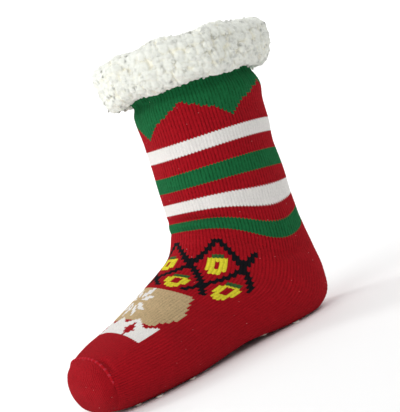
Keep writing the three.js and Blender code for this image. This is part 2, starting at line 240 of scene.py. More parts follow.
@dataclass(frozen=True)
class SherpaPile:
    """Curly polyester fleece, tumbled until it clumps: matt and bright, with its hollows painted a lighter
    cream.

    That lighter cream is painted light: it stands in for light that soaks through the fine fibres and keeps
    the shade between clumps soft.
    """

    # The first colour is the pile's own; the second is painted light, a lighter cream that offsets the shade
    # in the hollows.
    tip: str = "e4e6de"
    painted_hollow_light: str = "f0eede"
    glow: float = 0.25
    glow_mm: float = 1.5
    fibres: Grain = Grain(0.8, 3.0, 0.35, 0.5)

    def material(self) -> bpy.types.Material:
        """Returns the pile's material."""
        material, tree, shader, place = new_material("sherpa_pile", {
            "Roughness": 0.9, "IOR": 1.54, "Specular IOR Level": 0.1, "Subsurface Weight": self.glow,
            "Subsurface Radius": (1.0, 1.0, 0.95), "Subsurface Scale": self.glow_mm * MM,
            "Sheen Weight": 0.15, "Sheen Roughness": 0.5})
        self.fibres.add(tree, shader, place)
        # Painted light: the depth in the pile blends the tips' colour into the lighter cream of the hollows.
        depth = add_node(tree, "ShaderNodeAttribute", {"attribute_name": "painted_hollow_light"})
        shade = add_node(tree, "ShaderNodeMix", {"data_type": "RGBA"}, {
            "Factor": depth.outputs["Fac"], "A": linear(self.tip), "B": linear(self.painted_hollow_light)})
        tree.links.new(shade.outputs["Result"], shader.inputs["Base Color"])
        return material


@dataclass(frozen=True)
class MouldedSilicone:
    """Silicone dripped on and cured in a mould: translucent off-white, satin, with faint dust on its face."""

    colour: str = "e9e6de"
    dust: str = "cfc8ba"
    patches: Grain = Grain(3.0, 4.0, 0.1, 0.4)
    glow_mm: float = 1.5

    def material(self) -> bpy.types.Material:
        """Returns the silicone's material."""
        material, tree, shader, place = new_material("moulded_silicone", {
            "Roughness": 0.42, "IOR": 1.41, "Subsurface Weight": 0.2, "Subsurface Scale": self.glow_mm * MM})
        patches = self.patches.add(tree, shader, place)
        shade = add_node(tree, "ShaderNodeMix", {"data_type": "RGBA"}, {
            "Factor": patches.outputs["Fac"], "A": linear(self.colour), "B": linear(self.dust)})
        tree.links.new(shade.outputs["Result"], shader.inputs["Base Color"])
        return material


@dataclass(frozen=True)
class SeamlessPaper:
    """Background paper, rolled and matt: an even pale sweep with the faintest tooth."""

    colour: str = "f4f4f4"
    tooth: Grain = Grain(2.0, 2.0, 0.05, 0.3)

    def material(self) -> bpy.types.Material:
        """Returns the paper's material."""
        material, tree, shader, place = new_material("seamless_paper", {
            "Base Color": linear(self.colour), "Roughness": 0.9})
        self.tooth.add(tree, shader, place)
        return material


# Meshes


def grid_faces(rows: int, columns: int, closed: bool, first: int = 0) -> np.ndarray:
    """Quads of a grid of points, facing out where rows run down and columns towards the inner side.

    Args:
        rows: Rows of points.
        columns: Points in a row.
        closed: Whether each row closes on itself.
        first: Number of the grid's first point.

    Returns:
        Four point numbers a quad, row after row.
    """
    spans = columns if closed else columns - 1
    row, column = np.mgrid[0:rows - 1, 0:spans]
    beside = (column + 1) % columns
    quads = [row * columns + column, (row + 1) * columns + column, (row + 1) * columns + beside,
             row * columns + beside]
    return first + np.stack(quads, axis=-1).reshape(-1, 4)


def make_piece(
    name: str, points: np.ndarray, faces: np.ndarray, material: bpy.types.Material,
) -> bpy.types.Object:
    """Makes a smooth-shaded mesh object.

    Args:
        name: The piece's name.
        points: Places in millimetres, in the order of their numbers.
        faces: Point numbers, one face a row, all with as many corners.
        material: The finish of the whole piece.

    Returns:
        The new object, linked to the scene.
    """
    mesh = bpy.data.meshes.new(name)
    corners = faces.shape[1]
    mesh.vertices.add(points.size // 3)
    mesh.vertices.foreach_set("co", (points * MM).astype(np.float32).ravel())
    mesh.loops.add(faces.size)
    mesh.loops.foreach_set("vertex_index", faces.astype(np.int32).ravel())
    mesh.polygons.add(len(faces))
    mesh.polygons.foreach_set("loop_start", np.arange(0, faces.size, corners, dtype=np.int32))
    mesh.polygons.foreach_set("use_smooth", np.ones(len(faces), dtype=bool))
    mesh.materials.append(material)
    mesh.update()
    mesh.validate()
    piece = bpy.data.objects.new(name, mesh)
    bpy.context.scene.collection.objects.link(piece)
    return piece


def paint(piece: bpy.types.Object, name: str, colours: np.ndarray) -> None:
    """Stores a colour for each corner of a piece.

    Args:
        piece: The mesh object.
        name: The attribute's name.
        colours: Linear RGBA, one corner a row.
    """
    layer = piece.data.color_attributes.new(name, "FLOAT_COLOR", "CORNER")
    layer.data.foreach_set("color", colours.astype(np.float32).ravel())


def unit(vectors: np.ndarray) -> np.ndarray:
    """Returns the vectors at length 1."""
    return vectors / np.maximum(np.linalg.norm(vectors, axis=-1, keepdims=True), 1e-9)


def smooth_step(value: np.ndarray) -> np.ndarray:
    """Returns 0 below 0, 1 above 1 and a smooth rise between."""
    share = np.clip(value, 0, 1)
    return share * share * (3 - 2 * share)


def bell(distance: np.ndarray, width: float) -> np.ndarray:
    """Returns 1 at no distance, and about a third at the width."""
    return np.exp(-((distance / width) ** 2))


def soft_noise(points: np.ndarray, size: float, seed: int) -> np.ndarray:
    """Smooth wandering values made of a few crossed waves, the same on every run.

    Args:
        points: Places in millimetres, one a row.
        size: Rough size of a lump, in millimetres.
        seed: Picks the waves.

    Returns:
        One value a point, mostly between -1 and 1.
    """
    waves = np.random.default_rng(seed)
    total = np.zeros(len(points))
    count = 9
    for _ in range(count):
        direction = unit(waves.normal(size=3))
        length = size * waves.uniform(1.4, 3.0)
        total += np.sin(points @ direction * (2 * math.pi / length) + waves.uniform(0, 2 * math.pi))
    return total / math.sqrt(count)


# The last: the form under the knit, as in the part's own source


class LegSection(NamedTuple):
    """One section of the leg.

    front_up, back_up: Shares of the height from the instep crease to the collar.
    depth, width: Shares of the leg's own at the collar.
    """

    front_up: float
    back_up: float
    depth: float
    width: float


class FootSection(NamedTuple):
    """One section that fans round the heel or crosses the foot.

    front_along: Share of the way from the crease to the toe tip.
    front_up, back_up: Shares of the instep's height.
    back_along: Share of the foot's length.
    inner, outer: Half widths as shares of the ball's.
    top, sole: How square the upper and lower half are.
    """

    front_along: float
    front_up: float
    back_along: float
    back_up: float
    inner: float
    outer: float
    top: float
    sole: float


LEG_SECTIONS = (
    LegSection(1.0, 1.0, 1.0, 1.0),
    LegSection(0.78, 0.78, 0.985, 0.965),
    LegSection(0.53, 0.52, 0.975, 0.925),
    LegSection(0.31, 0.28, 0.985, 0.89),
    LegSection(0.15, 0.07, 0.998, 0.86),
)
FOOT_SECTIONS = (
    FootSection(0.02, 1.11, 0.008, 0.8, 0.86, 0.87, 2.1, 2.1),
    FootSection(0.062, 1.03, 0.001, 0.54, 0.82, 0.83, 2.1, 2.15),
    FootSection(0.108, 0.985, 0.0, 0.3, 0.79, 0.79, 2.1, 2.3),
    FootSection(0.158, 0.95, 0.028, 0.075, 0.77, 0.775, 2.1, 2.5),
    FootSection(0.215, 0.912, 0.115, -0.035, 0.77, 0.8, 2.1, 2.7),
    FootSection(0.28, 0.87, 0.24, -0.04, 0.775, 0.845, 2.1, 2.8),
    FootSection(0.36, 0.815, 0.385, -0.025, 0.815, 0.905, 2.1, 2.8),
    FootSection(0.46, 0.75, 0.525, -0.025, 0.9, 0.965, 2.15, 2.8),
    FootSection(0.565, 0.69, 0.65, -0.04, 0.985, 1.0, 2.2, 2.8),
    FootSection(0.67, 0.64, 0.76, -0.04, 1.0, 0.965, 2.3, 2.7),
    FootSection(0.775, 0.6, 0.86, -0.03, 0.965, 0.895, 2.4, 2.6),
    FootSection(0.872, 0.55, 0.93, 0.0, 0.89, 0.79, 2.4, 2.5),
    FootSection(0.945, 0.48, 0.975, 0.075, 0.74, 0.63, 2.35, 2.4),
    FootSection(0.984, 0.4, 0.993, 0.165, 0.5, 0.38, 2.3, 2.3),
)


def spline(points: np.ndarray, places: np.ndarray) -> np.ndarray:
    """A centripetal curve through points.

    Args:
        points: The points that it passes, one a row.
        places: Where to read it, counted in points from the first.

    Returns:
        One point of the curve a row.
    """
    ends = (2 * points[0] - points[1], 2 * points[-1] - points[-2])
    padded = np.vstack([ends[0], points, ends[1]])
    start = np.clip(places.astype(int), 0, len(points) - 2)
    share = (places - start)[:, None]
    before, here, there, after = (padded[start + k] for k in range(4))
    gaps = [np.linalg.norm(b - a, axis=1, keepdims=True) ** 0.5
            for a, b in ((before, here), (here, there), (there, after))]
    middle = np.where(gaps[1] < 1e-4, 1.0, gaps[1])
    back = np.where(gaps[0] < 1e-4, middle, gaps[0])
    ahead = np.where(gaps[2] < 1e-4, middle, gaps[2])
    leave = middle * ((here - before) / back - (there - before) / (back + middle) + (there - here) / middle)
    arrive = middle * ((there - here) / middle - (after - here) / (middle + ahead) + (after - there) / ahead)
    cubic = 2 * (here - there) + leave + arrive
    square = 3 * (there - here) - 2 * leave - arrive
    return here + share * (leave + share * (square + share * cubic))


def rounded(value: np.ndarray, power: np.ndarray | float) -> np.ndarray:
    """Returns a sine or cosine bent to the given squareness of an oval."""
    return np.sign(value) * np.abs(value) ** (2 / power)


@dataclass(frozen=True)
class Last:
    """The form of a right foot and lower leg that the sock keeps, in millimetres."""

    foot_length: float = 250.0
    collar_height: float = 250.0
    shaft_depth: float = 112.0
    shaft_width: float = 106.0
    instep_height: float = 92.0
    ball_width: float = 102.0
    heel_overhang: float = 4.0
    back_lean: float = 13.0
    arch_rise: float = 4.5
    toe_spring: float = 3.0
    sole_plane: float = 1.5
    leg_squareness: float = 2.1
    arch_middle: float = 0.43
    arch_reach: float = 0.2
    arch_start: float = -0.5
    arch_full: float = 0.7
    spring_start: float = 0.84
    tip_up: float = 0.28
    tip_inner: float = 0.07

    @property
    def crease_along(self) -> float:
        """How far the instep crease lies from the heel."""
        return self.heel_overhang + self.shaft_depth

    @property
    def last_place(self) -> int:
        """The place of the last section, before the tip of the toe."""
        return len(LEG_SECTIONS) + len(FOOT_SECTIONS) - 1

    def sections(self) -> dict[str, np.ndarray]:
        """Returns the fronts, backs, half widths and powers of all sections, a row each."""
        leg_height = self.collar_height - self.instep_height
        fronts, backs, widths, powers = [], [], [], []
        for s in LEG_SECTIONS:
            half = self.shaft_width / 2 * s.width
            lean = [self.heel_overhang - self.back_lean * up for up in (s.front_up, s.back_up)]
            height = [self.instep_height + leg_height * up for up in (s.front_up, s.back_up)]
            fronts.append((lean[0] + self.shaft_depth * s.depth, height[0]))
            backs.append((lean[1], height[1]))
            widths.append((half, half))
            powers.append((self.leg_squareness, self.leg_squareness))
        reach = self.foot_length - self.crease_along
        for s in FOOT_SECTIONS:
            fronts.append((self.crease_along + reach * s.front_along, self.instep_height * s.front_up))
            backs.append((self.foot_length * s.back_along, self.instep_height * s.back_up))
            widths.append((self.ball_width / 2 * s.inner, self.ball_width / 2 * s.outer))
            powers.append((s.top, s.sole))
        named = {"front": fronts, "back": backs, "width": widths, "power": powers}
        return {key: np.array(rows, float) for key, rows in named.items()}

    def sole_height(self, along: np.ndarray, across: np.ndarray) -> np.ndarray:
        """Height that the sole is pressed flat to.

        Args:
            along: Distance from the heel.
            across: Distance towards the inner side.

        Returns:
            Heights above the floor.
        """
        share = along / self.foot_length
        near_arch = smooth_step(1 - np.abs(share - self.arch_middle) / self.arch_reach)
        inner = (across / (self.ball_width / 2) - self.arch_start) / (self.arch_full - self.arch_start)
        spring = smooth_step((share - self.spring_start) / (1 - self.spring_start))
        return self.sole_plane + self.arch_rise * near_arch * smooth_step(inner) + self.toe_spring * spring

    def surface(self, place: np.ndarray, angle: np.ndarray) -> np.ndarray:
        """Points on the outside of the knit.

        Args:
            place: Sections from the collar. Past the last one, up to 1 more, the toe closes in a dome.
            angle: Round the section from its front, the inner side at a quarter turn.

        Returns:
            Across, minus along and height of each point.
        """
        shape = place.shape
        place, angle = place.ravel(), angle.ravel()
        end = self.last_place
        read = {key: spline(rows, np.minimum(place, end)) for key, rows in self.sections().items()}
        middle = (read["front"] + read["back"]) / 2
        half_depth = (read["front"] - read["back"]) / 2
        sine, cosine = np.sin(angle), np.cos(angle)
        power = np.where(cosine >= 0, read["power"][:, 0], read["power"][:, 1])
        half_width = np.where(sine >= 0, read["width"][:, 0], read["width"][:, 1])
        across = half_width * rounded(sine, power)
        profile = middle + half_depth * rounded(cosine, power)[:, None]
        along, up = profile[:, 0], profile[:, 1]
        up = np.maximum(up, self.sole_height(along, across))
        dome = np.clip(place - end, 0, 1)
        across = across + (self.ball_width / 2 * self.tip_inner - across) * dome
        up = up + (self.instep_height * self.tip_up - up) * dome
        along = along + (self.foot_length - along) * (1 - (1 - dome) ** 2)
        return np.stack([across, -along, up], axis=-1).reshape(*shape, 3)

    def leg_outline(self, height: np.ndarray, out: np.ndarray, angle: np.ndarray) -> np.ndarray:
        """Points round the top of the leg.

        Args:
            height: Above the collar, negative below it.
            out: How far outside the knit.
            angle: Round the leg from its front.

        Returns:
            Across, minus along and height of each point.
        """
        top, below = (self.sections()[key][:2] for key in ("front", "back"))
        share = (top[0, 1] - self.collar_height - height) / (top[0, 1] - top[1, 1])
        front = top[0, 0] + (top[1, 0] - top[0, 0]) * share
        back = below[0, 0] + (below[1, 0] - below[0, 0]) * share
        widths = self.sections()["width"][:2, 0]
        half = widths[0] + (widths[1] - widths[0]) * share
        depth = (front - back) / 2
        sine, cosine = np.sin(angle), np.cos(angle)
        outwards = unit(np.stack([sine / half, cosine / depth], axis=-1))
        across = half * rounded(sine, self.leg_squareness) + out * outwards[..., 0]
        along = (front + back) / 2 + depth * rounded(cosine, self.leg_squareness) + out * outwards[..., 1]
        return np.stack([across, -along, self.collar_height + height], axis=-1)

    def in_frame(self, points: np.ndarray) -> np.ndarray:
        """Returns points of the last, moved into the frame's own place."""
        low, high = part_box("knit_upper")
        return points + np.array([(low.x + high.x) / 2 / MM, low.y / MM + self.foot_length, 0.0])


# The fabric: how stitches lie on the last


class Crease(NamedTuple):
    """One soft fold of the worn knit.

    down: Its middle, in millimetres of fabric down from the collar.
    round: Its middle round the leg or foot, in degrees from the front towards the inner side.
    reach: Half its length round, in degrees; 180 goes all the way.
    width: Half its width, in millimetres.
    depth: How far it goes in (negative) or stands out, in millimetres.
    slant: How much lower it runs for each quarter turn towards the inner side, in millimetres.
    """

    down: float
    round: float
    reach: float
    width: float
    depth: float
    slant: float


CREASES = (
    Crease(33, 0, 180, 5.5, -2.8, 0),
    Crease(47, 150, 80, 8, 2.2, -2),
    Crease(52, 330, 60, 9, 0.9, 2),
    Crease(62, 95, 50, 6, -0.9, 7),
    Crease(74, 35, 45, 8, 0.8, -5),
    Crease(94, 130, 60, 10, -1.3, -5),
    Crease(112, 40, 50, 9, 0.9, 4),
    Crease(120, 210, 60, 10, -1.1, 3),
    Crease(133, 105, 55, 6, -1.3, 8),
    Crease(146, 32, 52, 3.3, -3.2, 3),
    Crease(145, 306, 46, 3.6, -1.7, -4),
    Crease(152, 22, 60, 5, 1.2, 5),
    Crease(160, 42, 48, 3.4, -1.8, 7),
    Crease(160, 312, 44, 3.4, -1.4, -6),
    Crease(168, 62, 44, 3.6, -1.7, 9),
    Crease(169, 300, 40, 3.6, -1.5, -8),
    Crease(176, 35, 40, 3.2, 1.0, 6),
    Crease(183, 40, 34, 3.2, -1.1, 6),
    Crease(174, 128, 38, 7, -2.1, -16),
    Crease(174, 232, 38, 7, -2.1, 16),
    Crease(186, 118, 34, 6, 1.1, -14),
    Crease(205, 95, 34, 8, -1.2, 10),
    Crease(228, 70, 36, 7, 0.9, 8),
    Crease(262, 85, 44, 8, -1.0, 6),
    Crease(296, 60, 40, 9, -0.9, 8),
    Crease(372, 62, 20, 2.0, -2.6, -2),
)


class Droop(NamedTuple):
    """A place round the heel where the courses hang lower, or higher with a negative share.

    round: Its middle, in degrees from the front.
    reach: Half its width, in degrees.
    share: Share of the fabric's full sag.
    """

    round: float
    reach: float
    share: float


DROOPS = (
    Droop(103, 40, 1.0),
    Droop(180, 36, -0.45),
    Droop(0, 50, -0.2),
)


class Ripple(NamedTuple):
    """Slight unevenness all over the knit: the size and height of a lump, in millimetres."""

    size: float
    height: float


@dataclass(frozen=True)
class Fabric:
    """The knitted tube: its stitch grid, how it hangs on the last, and its soft folds.

    Lengths are in millimetres, and those that end in down are lengths of fabric from the collar.
    """

    last: Last
    wales: int = 108
    course_mm: float = 2.3
    columns_a_wale: int = 4
    rows_a_course: int = 2
    seam_place: float = 16.25
    sag_mm: float = 14.0
    sag_down: float = 158.0
    sag_reach: float = 27.0
    tilt_mm: float = 5.0
    tilt_down: tuple[float, float] = (15.0, 215.0)
    tilt_fades: tuple[float, float] = (40.0, 60.0)
    drift_mm: float = 0.9
    drift_down: float = 95.0
    drift_reach: float = 50.0
    drift_turn: float = 0.1
    ripples: tuple[Ripple, ...] = (Ripple(26.0, 0.45), Ripple(11.0, 0.225))
    crease_fullness: float = 1.25
    gathers: int = 17
    gather_mm: float = 0.8
    gather_sway: float = 1.3
    gather_sways: int = 3
    gather_down: float = 58.0
    gather_fade: float = 24.0
    sole_up: float = 4.0
    sole_fade: float = 12.0
    sole_dents: float = 0.25
    valley_mm: float = 0.62
    crest_mm: float = 0.14
    centre_mm: float = 0.12
    row_mm: float = 0.09
    chevron_courses: tuple[float, ...] = (0.55, 0.26, 0.0, 0.26)
    nominal_wale_mm: float = 3.1
    seam_dip_mm: float = -0.3
    grip_seat_mm: float = 0.3
    table: dict[str, np.ndarray] = field(default_factory=dict)

    def __post_init__(self) -> None:
        """Measures the last once: fabric length down it, and even spacing round it."""
        rings, spokes, shown_spokes = 400, 480, 4
        places = np.linspace(0, self.last.last_place + 1, rings)
        angles = np.linspace(0, 2 * math.pi, spokes + 1)
        grid = self.last.surface(*np.meshgrid(places, angles, indexing="ij"))
        round_steps = np.linalg.norm(np.diff(grid, axis=1), axis=2)
        arcs = np.concatenate([np.zeros((rings, 1)), np.cumsum(round_steps, axis=1)], axis=1)
        arcs /= np.maximum(arcs[:, -1:], 1e-6)
        shares = np.linspace(0, 1, self.columns + 1)
        even = np.array([np.interp(shares, row, angles) for row in arcs])
        even[-1] = even[-2]
        steps = np.linalg.norm(np.diff(grid, axis=0), axis=2)[:, :: spokes // shown_spokes]
        self.table.update(places=places, even=even)
        self.table["down"] = np.concatenate([[0.0], np.cumsum(steps[:, :shown_spokes].mean(axis=1))])
        self.table["front"] = np.concatenate([[0.0], np.cumsum(steps[:, 0])])

    @property
    def columns(self) -> int:
        """Mesh columns round the tube."""
        return self.wales * self.columns_a_wale

    @property
    def seam_down(self) -> float:
        """Fabric length from the collar to the toe seam."""
        return float(np.interp(self.seam_place, self.table["places"], self.table["down"]))

    @property
    def tip_down(self) -> float:
        """Fabric length from the collar to the tip of the toe."""
        return float(self.table["down"][-1])

    def front_length(self, down: np.ndarray) -> np.ndarray:
        """Returns the real distance down the front line, for fabric lengths from the collar."""
        return np.interp(down, self.table["down"], self.table["front"])

    def sagged(self, down: np.ndarray, share: np.ndarray) -> np.ndarray:
        """Where the courses really lie: they droop beside the heel and rise at the front and back.

        Args:
            down: Fabric length from the collar.
            share: Share of the way round from the front.

        Returns:
            The fabric length with its droop.
        """
        turn = 360 * np.abs((share + 0.5) % 1 - 0.5)
        round_heel = sum(droop.share * bell(turn - droop.round, droop.reach) for droop in DROOPS)
        drift = np.sin(2 * math.pi * (share * 2 + self.drift_turn))
        drift = drift * bell(down - self.drift_down, self.drift_reach)
        start, end = self.tilt_down
        rise, fall = self.tilt_fades
        on_leg = smooth_step((down - start) / rise) * smooth_step((end - down) / fall)
        tilt = -self.tilt_mm * np.cos(2 * math.pi * share) * on_leg
        droop = self.sag_mm * bell(down - self.sag_down, self.sag_reach) * round_heel
        return down + droop + tilt + self.drift_mm * drift

    def base(self, down: np.ndarray, share: np.ndarray) -> np.ndarray:
        """Points of the smooth fabric.

        Args:
            down: Fabric length from the collar.
            share: Share of the way round from the front, any number of turns.

        Returns:
            Points of the last.
        """
        place = np.interp(down, self.table["down"], self.table["places"])
        rows = len(self.table["places"]) - 1
        row = np.clip(place / self.table["places"][-1] * rows, 0, rows - 1e-6)
        column = (share % 1) * self.columns
        r, c = row.astype(int), column.astype(int)
        fr, fc = row - r, column - c
        even = self.table["even"]
        upper = even[r, c] * (1 - fc) + even[r, c + 1] * fc
        lower = even[r + 1, c] * (1 - fc) + even[r + 1, c + 1] * fc
        return self.last.surface(place, upper * (1 - fr) + lower * fr)

    def folds(self, down: np.ndarray, share: np.ndarray, points: np.ndarray) -> np.ndarray:
        """How far soft folds push the fabric out.

        Args:
            down: Fabric length from the collar.
            share: Share of the way round from the front.
            points: The smooth fabric's points.

        Returns:
            Distances out, in millimetres.
        """
        flat = points.reshape(-1, 3)
        total = np.zeros(down.shape)
        for i, ripple in enumerate(self.ripples):
            total += ripple.height * soft_noise(flat, ripple.size, SEED + i).reshape(down.shape)
        for crease in CREASES:
            turn = (360 * share - crease.round + 180) % 360 - 180
            to_end = self.crease_fullness * (1 - np.abs(turn) / crease.reach)
            lengthwise = 1.0 if crease.reach >= 180 else smooth_step(to_end)
            across = bell(down - crease.down - crease.slant * turn / 90, crease.width)
            total += crease.depth * lengthwise * across
        round_leg = 2 * math.pi * share
        gathers = np.sin(self.gathers * round_leg + self.gather_sway * np.sin(self.gather_sways * round_leg))
        total += self.gather_mm * gathers * smooth_step((self.gather_down - down) / self.gather_fade)
        off_sole = smooth_step((points[..., 2] - self.sole_up) / self.sole_fade)
        dents = self.sole_dents + (1 - self.sole_dents) * off_sole
        return total * np.where(total > 0, off_sole, dents)

    def outwards(self, down: np.ndarray, share: np.ndarray) -> np.ndarray:
        """Directions out of the smooth fabric.

        Args:
            down: Fabric length from the collar.
            share: Share of the way round from the front.

        Returns:
            Unit vectors.
        """
        step = 1.0
        turn = 0.5 / self.wales
        above = self.base(np.maximum(down - step, 0), share)
        below = self.base(np.minimum(down + step, self.tip_down - step / 2), share)
        return unit(np.cross(below - above, self.base(down, share + turn) - self.base(down, share - turn)))

    def place_points(self, down: np.ndarray, share: np.ndarray, relief: np.ndarray | float) -> np.ndarray:
        """Points of the real fabric, folds and relief included.

        Args:
            down: Fabric length from the collar, on a grid of rows and columns.
            share: Share of the way round from the front, on the same grid.
            relief: How far each point stands out of the folded fabric.

        Returns:
            Points in the frame, in millimetres.
        """
        sagged = self.sagged(down, share)
        points = self.base(sagged, share)
        out = self.folds(down, share, points) + relief
        moved = points + self.outwards(sagged, share) * out[..., None]
        moved[..., 2] = np.maximum(moved[..., 2], self.last.sole_plane - self.grip_seat_mm)
        return self.last.in_frame(moved)

    def stitch_relief(self, columns: np.ndarray, rows: np.ndarray, wale_mm: np.ndarray) -> np.ndarray:
        """The stitches' own relief: two legs a wale with a shallow middle and a deep valley between wales.

        Args:
            columns: Mesh column numbers.
            rows: Mesh row numbers.
            wale_mm: How wide a wale is there.

        Returns:
            Distances out, in millimetres.
        """
        across = np.array([-self.valley_mm, self.crest_mm, -self.centre_mm, self.crest_mm])
        down = np.array([-self.row_mm, self.row_mm])
        tall = np.clip(wale_mm / self.nominal_wale_mm, 0, 1.1)
        return (across[columns % self.columns_a_wale] + down[rows % self.rows_a_course]) * tall

    def chevron(self, columns: np.ndarray) -> np.ndarray:
        """Returns how far up each mesh column is shifted, so that courses zigzag as stitches do."""
        return self.course_mm * np.array(self.chevron_courses)[columns % self.columns_a_wale]


# The colourwork


class Stripe(NamedTuple):
    """One stripe round the leg, as shares of the way from the cuff's lower edge to the instep crease."""

    start: float
    end: float
    yarn: Yarn


STRIPES = (
    Stripe(0.362, 0.452, Yarn.WHITE),
    Stripe(0.56, 0.662, Yarn.GREEN),
    Stripe(0.755, 0.842, Yarn.WHITE),
    Stripe(0.925, 1.01, Yarn.GREEN),
)


@dataclass(frozen=True)
class Colourwork:
    """Which yarn each stitch takes: stripes and a zigzag on the leg, a star and trellis on the instep."""

    fabric: Fabric
    cuff_edge_down: float = 29.0
    crease_down: float = 158.0
    zigzag_teeth: int = 4
    zigzag_peak: float = 0.12
    zigzag_tip: float = 0.265
    zigzag_point: float = 0.16
    zigzag_sharpness: int = 8
    motif_down: float = 171.0
    unit_mm: float = 2.5
    trellis_reach: float = 16.0
    trellis_half: float = 27.0
    trellis_slant: float = 0.7
    trellis_cell: float = 13.0
    twig_half: float = 1.05
    lantern_half: float = 2.7
    lantern_room: float = 0.8
    lantern_cap: float = 0.55
    lantern_mark: tuple[float, float] = (0.7, 0.9)
    lozenge_start: float = 17.0
    lozenge_reach: float = 14.5
    lozenge_half: float = 19.0
    lozenge_slant: float = 0.6
    star_reach: float = 6.2
    star_gap: float = 0.6
    star_shift: float = 0.9
    drift_reach: float = 6.5
    drift_inset: float = 2.0
    peak_every: float = 9.0
    peak_slope: float = 5.0
    peak_lift: float = 1.2
    berry_down: float = 3.4
    berry_half: float = 2.2
    berry_slant: float = 0.8
    pale_spread: float = 0.02
    dyed_spread: float = 0.07
    spread_limit: float = 2.5

    def yarns(self, wale: np.ndarray, course: np.ndarray, down: np.ndarray) -> np.ndarray:
        """Charts every stitch.

        Args:
            wale: Wale numbers from the front.
            course: Course numbers from the collar; not used.
            down: Fabric length from the collar at each stitch.

        Returns:
            Yarns' numbers in the order of the Yarn class.
        """
        number = {yarn: i for i, yarn in enumerate(Yarn)}
        chart = np.full(wale.shape, number[Yarn.RED])
        leg = (down - self.cuff_edge_down) / (self.crease_down - self.cuff_edge_down)
        tooth = np.abs((wale * self.zigzag_teeth / self.fabric.wales + 0.5) % 1 - 0.5) * 2
        sharp = self.zigzag_sharpness
        pointed = tooth + self.zigzag_point * (tooth ** sharp - (1 - tooth) ** sharp)
        zigzag = self.zigzag_tip + (self.zigzag_peak - self.zigzag_tip) * pointed
        chart[leg < zigzag] = number[Yarn.GREEN]
        for stripe in STRIPES:
            chart[(leg >= stripe.start) & (leg < stripe.end)] = number[stripe.yarn]
        x = (wale + self.fabric.wales // 2) % self.fabric.wales - self.fabric.wales // 2
        start = self.fabric.front_length(np.array(self.motif_down))
        y = (self.fabric.front_length(down) - start) / self.unit_mm
        for yarn, stitches in self.instep(x, np.where(down < self.fabric.seam_down, y, -1)):
            chart[stitches] = number[yarn]
        return chart

    def instep(self, x: np.ndarray, y: np.ndarray) -> list[tuple[Yarn, np.ndarray]]:
        """The instep's three bands: a trellis hung with lanterns, a star in a lozenge, and a snowy edge.

        Args:
            x: Wales from the front's middle, positive towards the inner side.
            y: Distance down the front from the trellis's start, in units of about one wale's width.

        Returns:
            Yarns with the stitches that they take, later ones over earlier ones.
        """
        side, cell = np.abs(x), self.trellis_cell

        def in_band(at_x: np.ndarray, at_y: np.ndarray, margin: float) -> np.ndarray:
            """Returns whether places lie on the trellis, a margin inside its edge."""
            half = self.trellis_half - self.trellis_slant * np.abs(at_y - self.trellis_reach / 2)
            return (at_y >= margin) & (at_y <= self.trellis_reach - margin) & (np.abs(at_x) <= half - margin)

        def from_middle(value: np.ndarray, shift: float = 0.0) -> np.ndarray:
            """Returns the distance from the nearest middle of a cell, with its sign."""
            return (value - shift + cell / 2) % cell - cell / 2

        twigs = (np.abs(from_middle(x + y)) < self.twig_half) | (np.abs(from_middle(x - y)) < self.twig_half)
        hung = []
        for shift_x, shift_y in ((0.0, cell / 2), (cell / 2, 0.0)):
            over, up = from_middle(x, shift_x), from_middle(y, shift_y)
            whole = in_band(x - over, y - up, self.lantern_room * self.lantern_half)
            inside = whole & (np.hypot(over, up) <= self.lantern_half)
            cap = up < -self.lantern_cap * self.lantern_half
            mark = (np.abs(over) < self.lantern_mark[0]) & (np.abs(up) < self.lantern_mark[1])
            hung += [(Yarn.YELLOW, inside), (Yarn.MOSS, inside & cap), (Yarn.RED, inside & mark)]
        down_lozenge = y - self.lozenge_start - self.lozenge_reach / 2
        lozenge = np.abs(down_lozenge) <= self.lozenge_reach / 2
        lozenge &= side <= self.lozenge_half - self.lozenge_slant * np.abs(down_lozenge)
        from_star = np.abs(down_lozenge + self.star_shift)
        drift_y = y - self.lozenge_start - self.lozenge_reach
        peaks = self.peak_slope * np.abs((x / self.peak_every + 0.5) % 1 - 0.5) - self.peak_lift
        drift = (drift_y >= peaks) & (drift_y < self.drift_reach)
        drift &= side <= self.lozenge_half - self.drift_inset
        from_berry = np.abs(side - self.peak_every) + self.berry_slant * np.abs(drift_y - self.berry_down)
        return [
            (Yarn.BLACK, in_band(x, y, 0) & twigs), *hung, (Yarn.TAN, lozenge),
            (Yarn.WHITE, lozenge & self.star(side, from_star)),
            (Yarn.WHITE, drift), (Yarn.RED, drift & (from_berry <= self.berry_half)),
        ]

    def star(self, x: np.ndarray, y: np.ndarray) -> np.ndarray:
        """The traditional eight-petalled star of northern knitting.

        Args:
            x: Stitches from its middle, across.
            y: Stitches from its middle, down.

        Returns:
            Whether each stitch is in a petal.
        """
        near = np.minimum(x, y)
        far = np.maximum(x, y) - near
        half = self.star_reach / 2
        return (near >= self.star_gap) & (far >= self.star_gap) & (near <= half) & (far <= half)

    def dyes(self, chart: np.ndarray, rng: np.random.Generator) -> np.ndarray:
        """Colours of the charted stitches, each a little lighter or darker than the next.

        Args:
            chart: Yarn numbers.
            rng: Source of the small differences.

        Returns:
            Linear RGB, and in alpha how much the lining's fibres show on that yarn.
        """
        palette = np.array([linear(yarn.value) for yarn in Yarn])
        palette[:, 3] = [1.0 if yarn is Yarn.RED else 0.0 for yarn in Yarn]
        colours = palette[chart]
        spread = np.array([self.pale_spread if yarn is Yarn.WHITE else self.dyed_spread for yarn in Yarn])
        drawn = rng.normal(0.0, 1.0, chart.shape).clip(-self.spread_limit, self.spread_limit)
        shade = 1.0 + spread[chart] * drawn
        colours[..., :3] *= shade[..., None]
        return colours


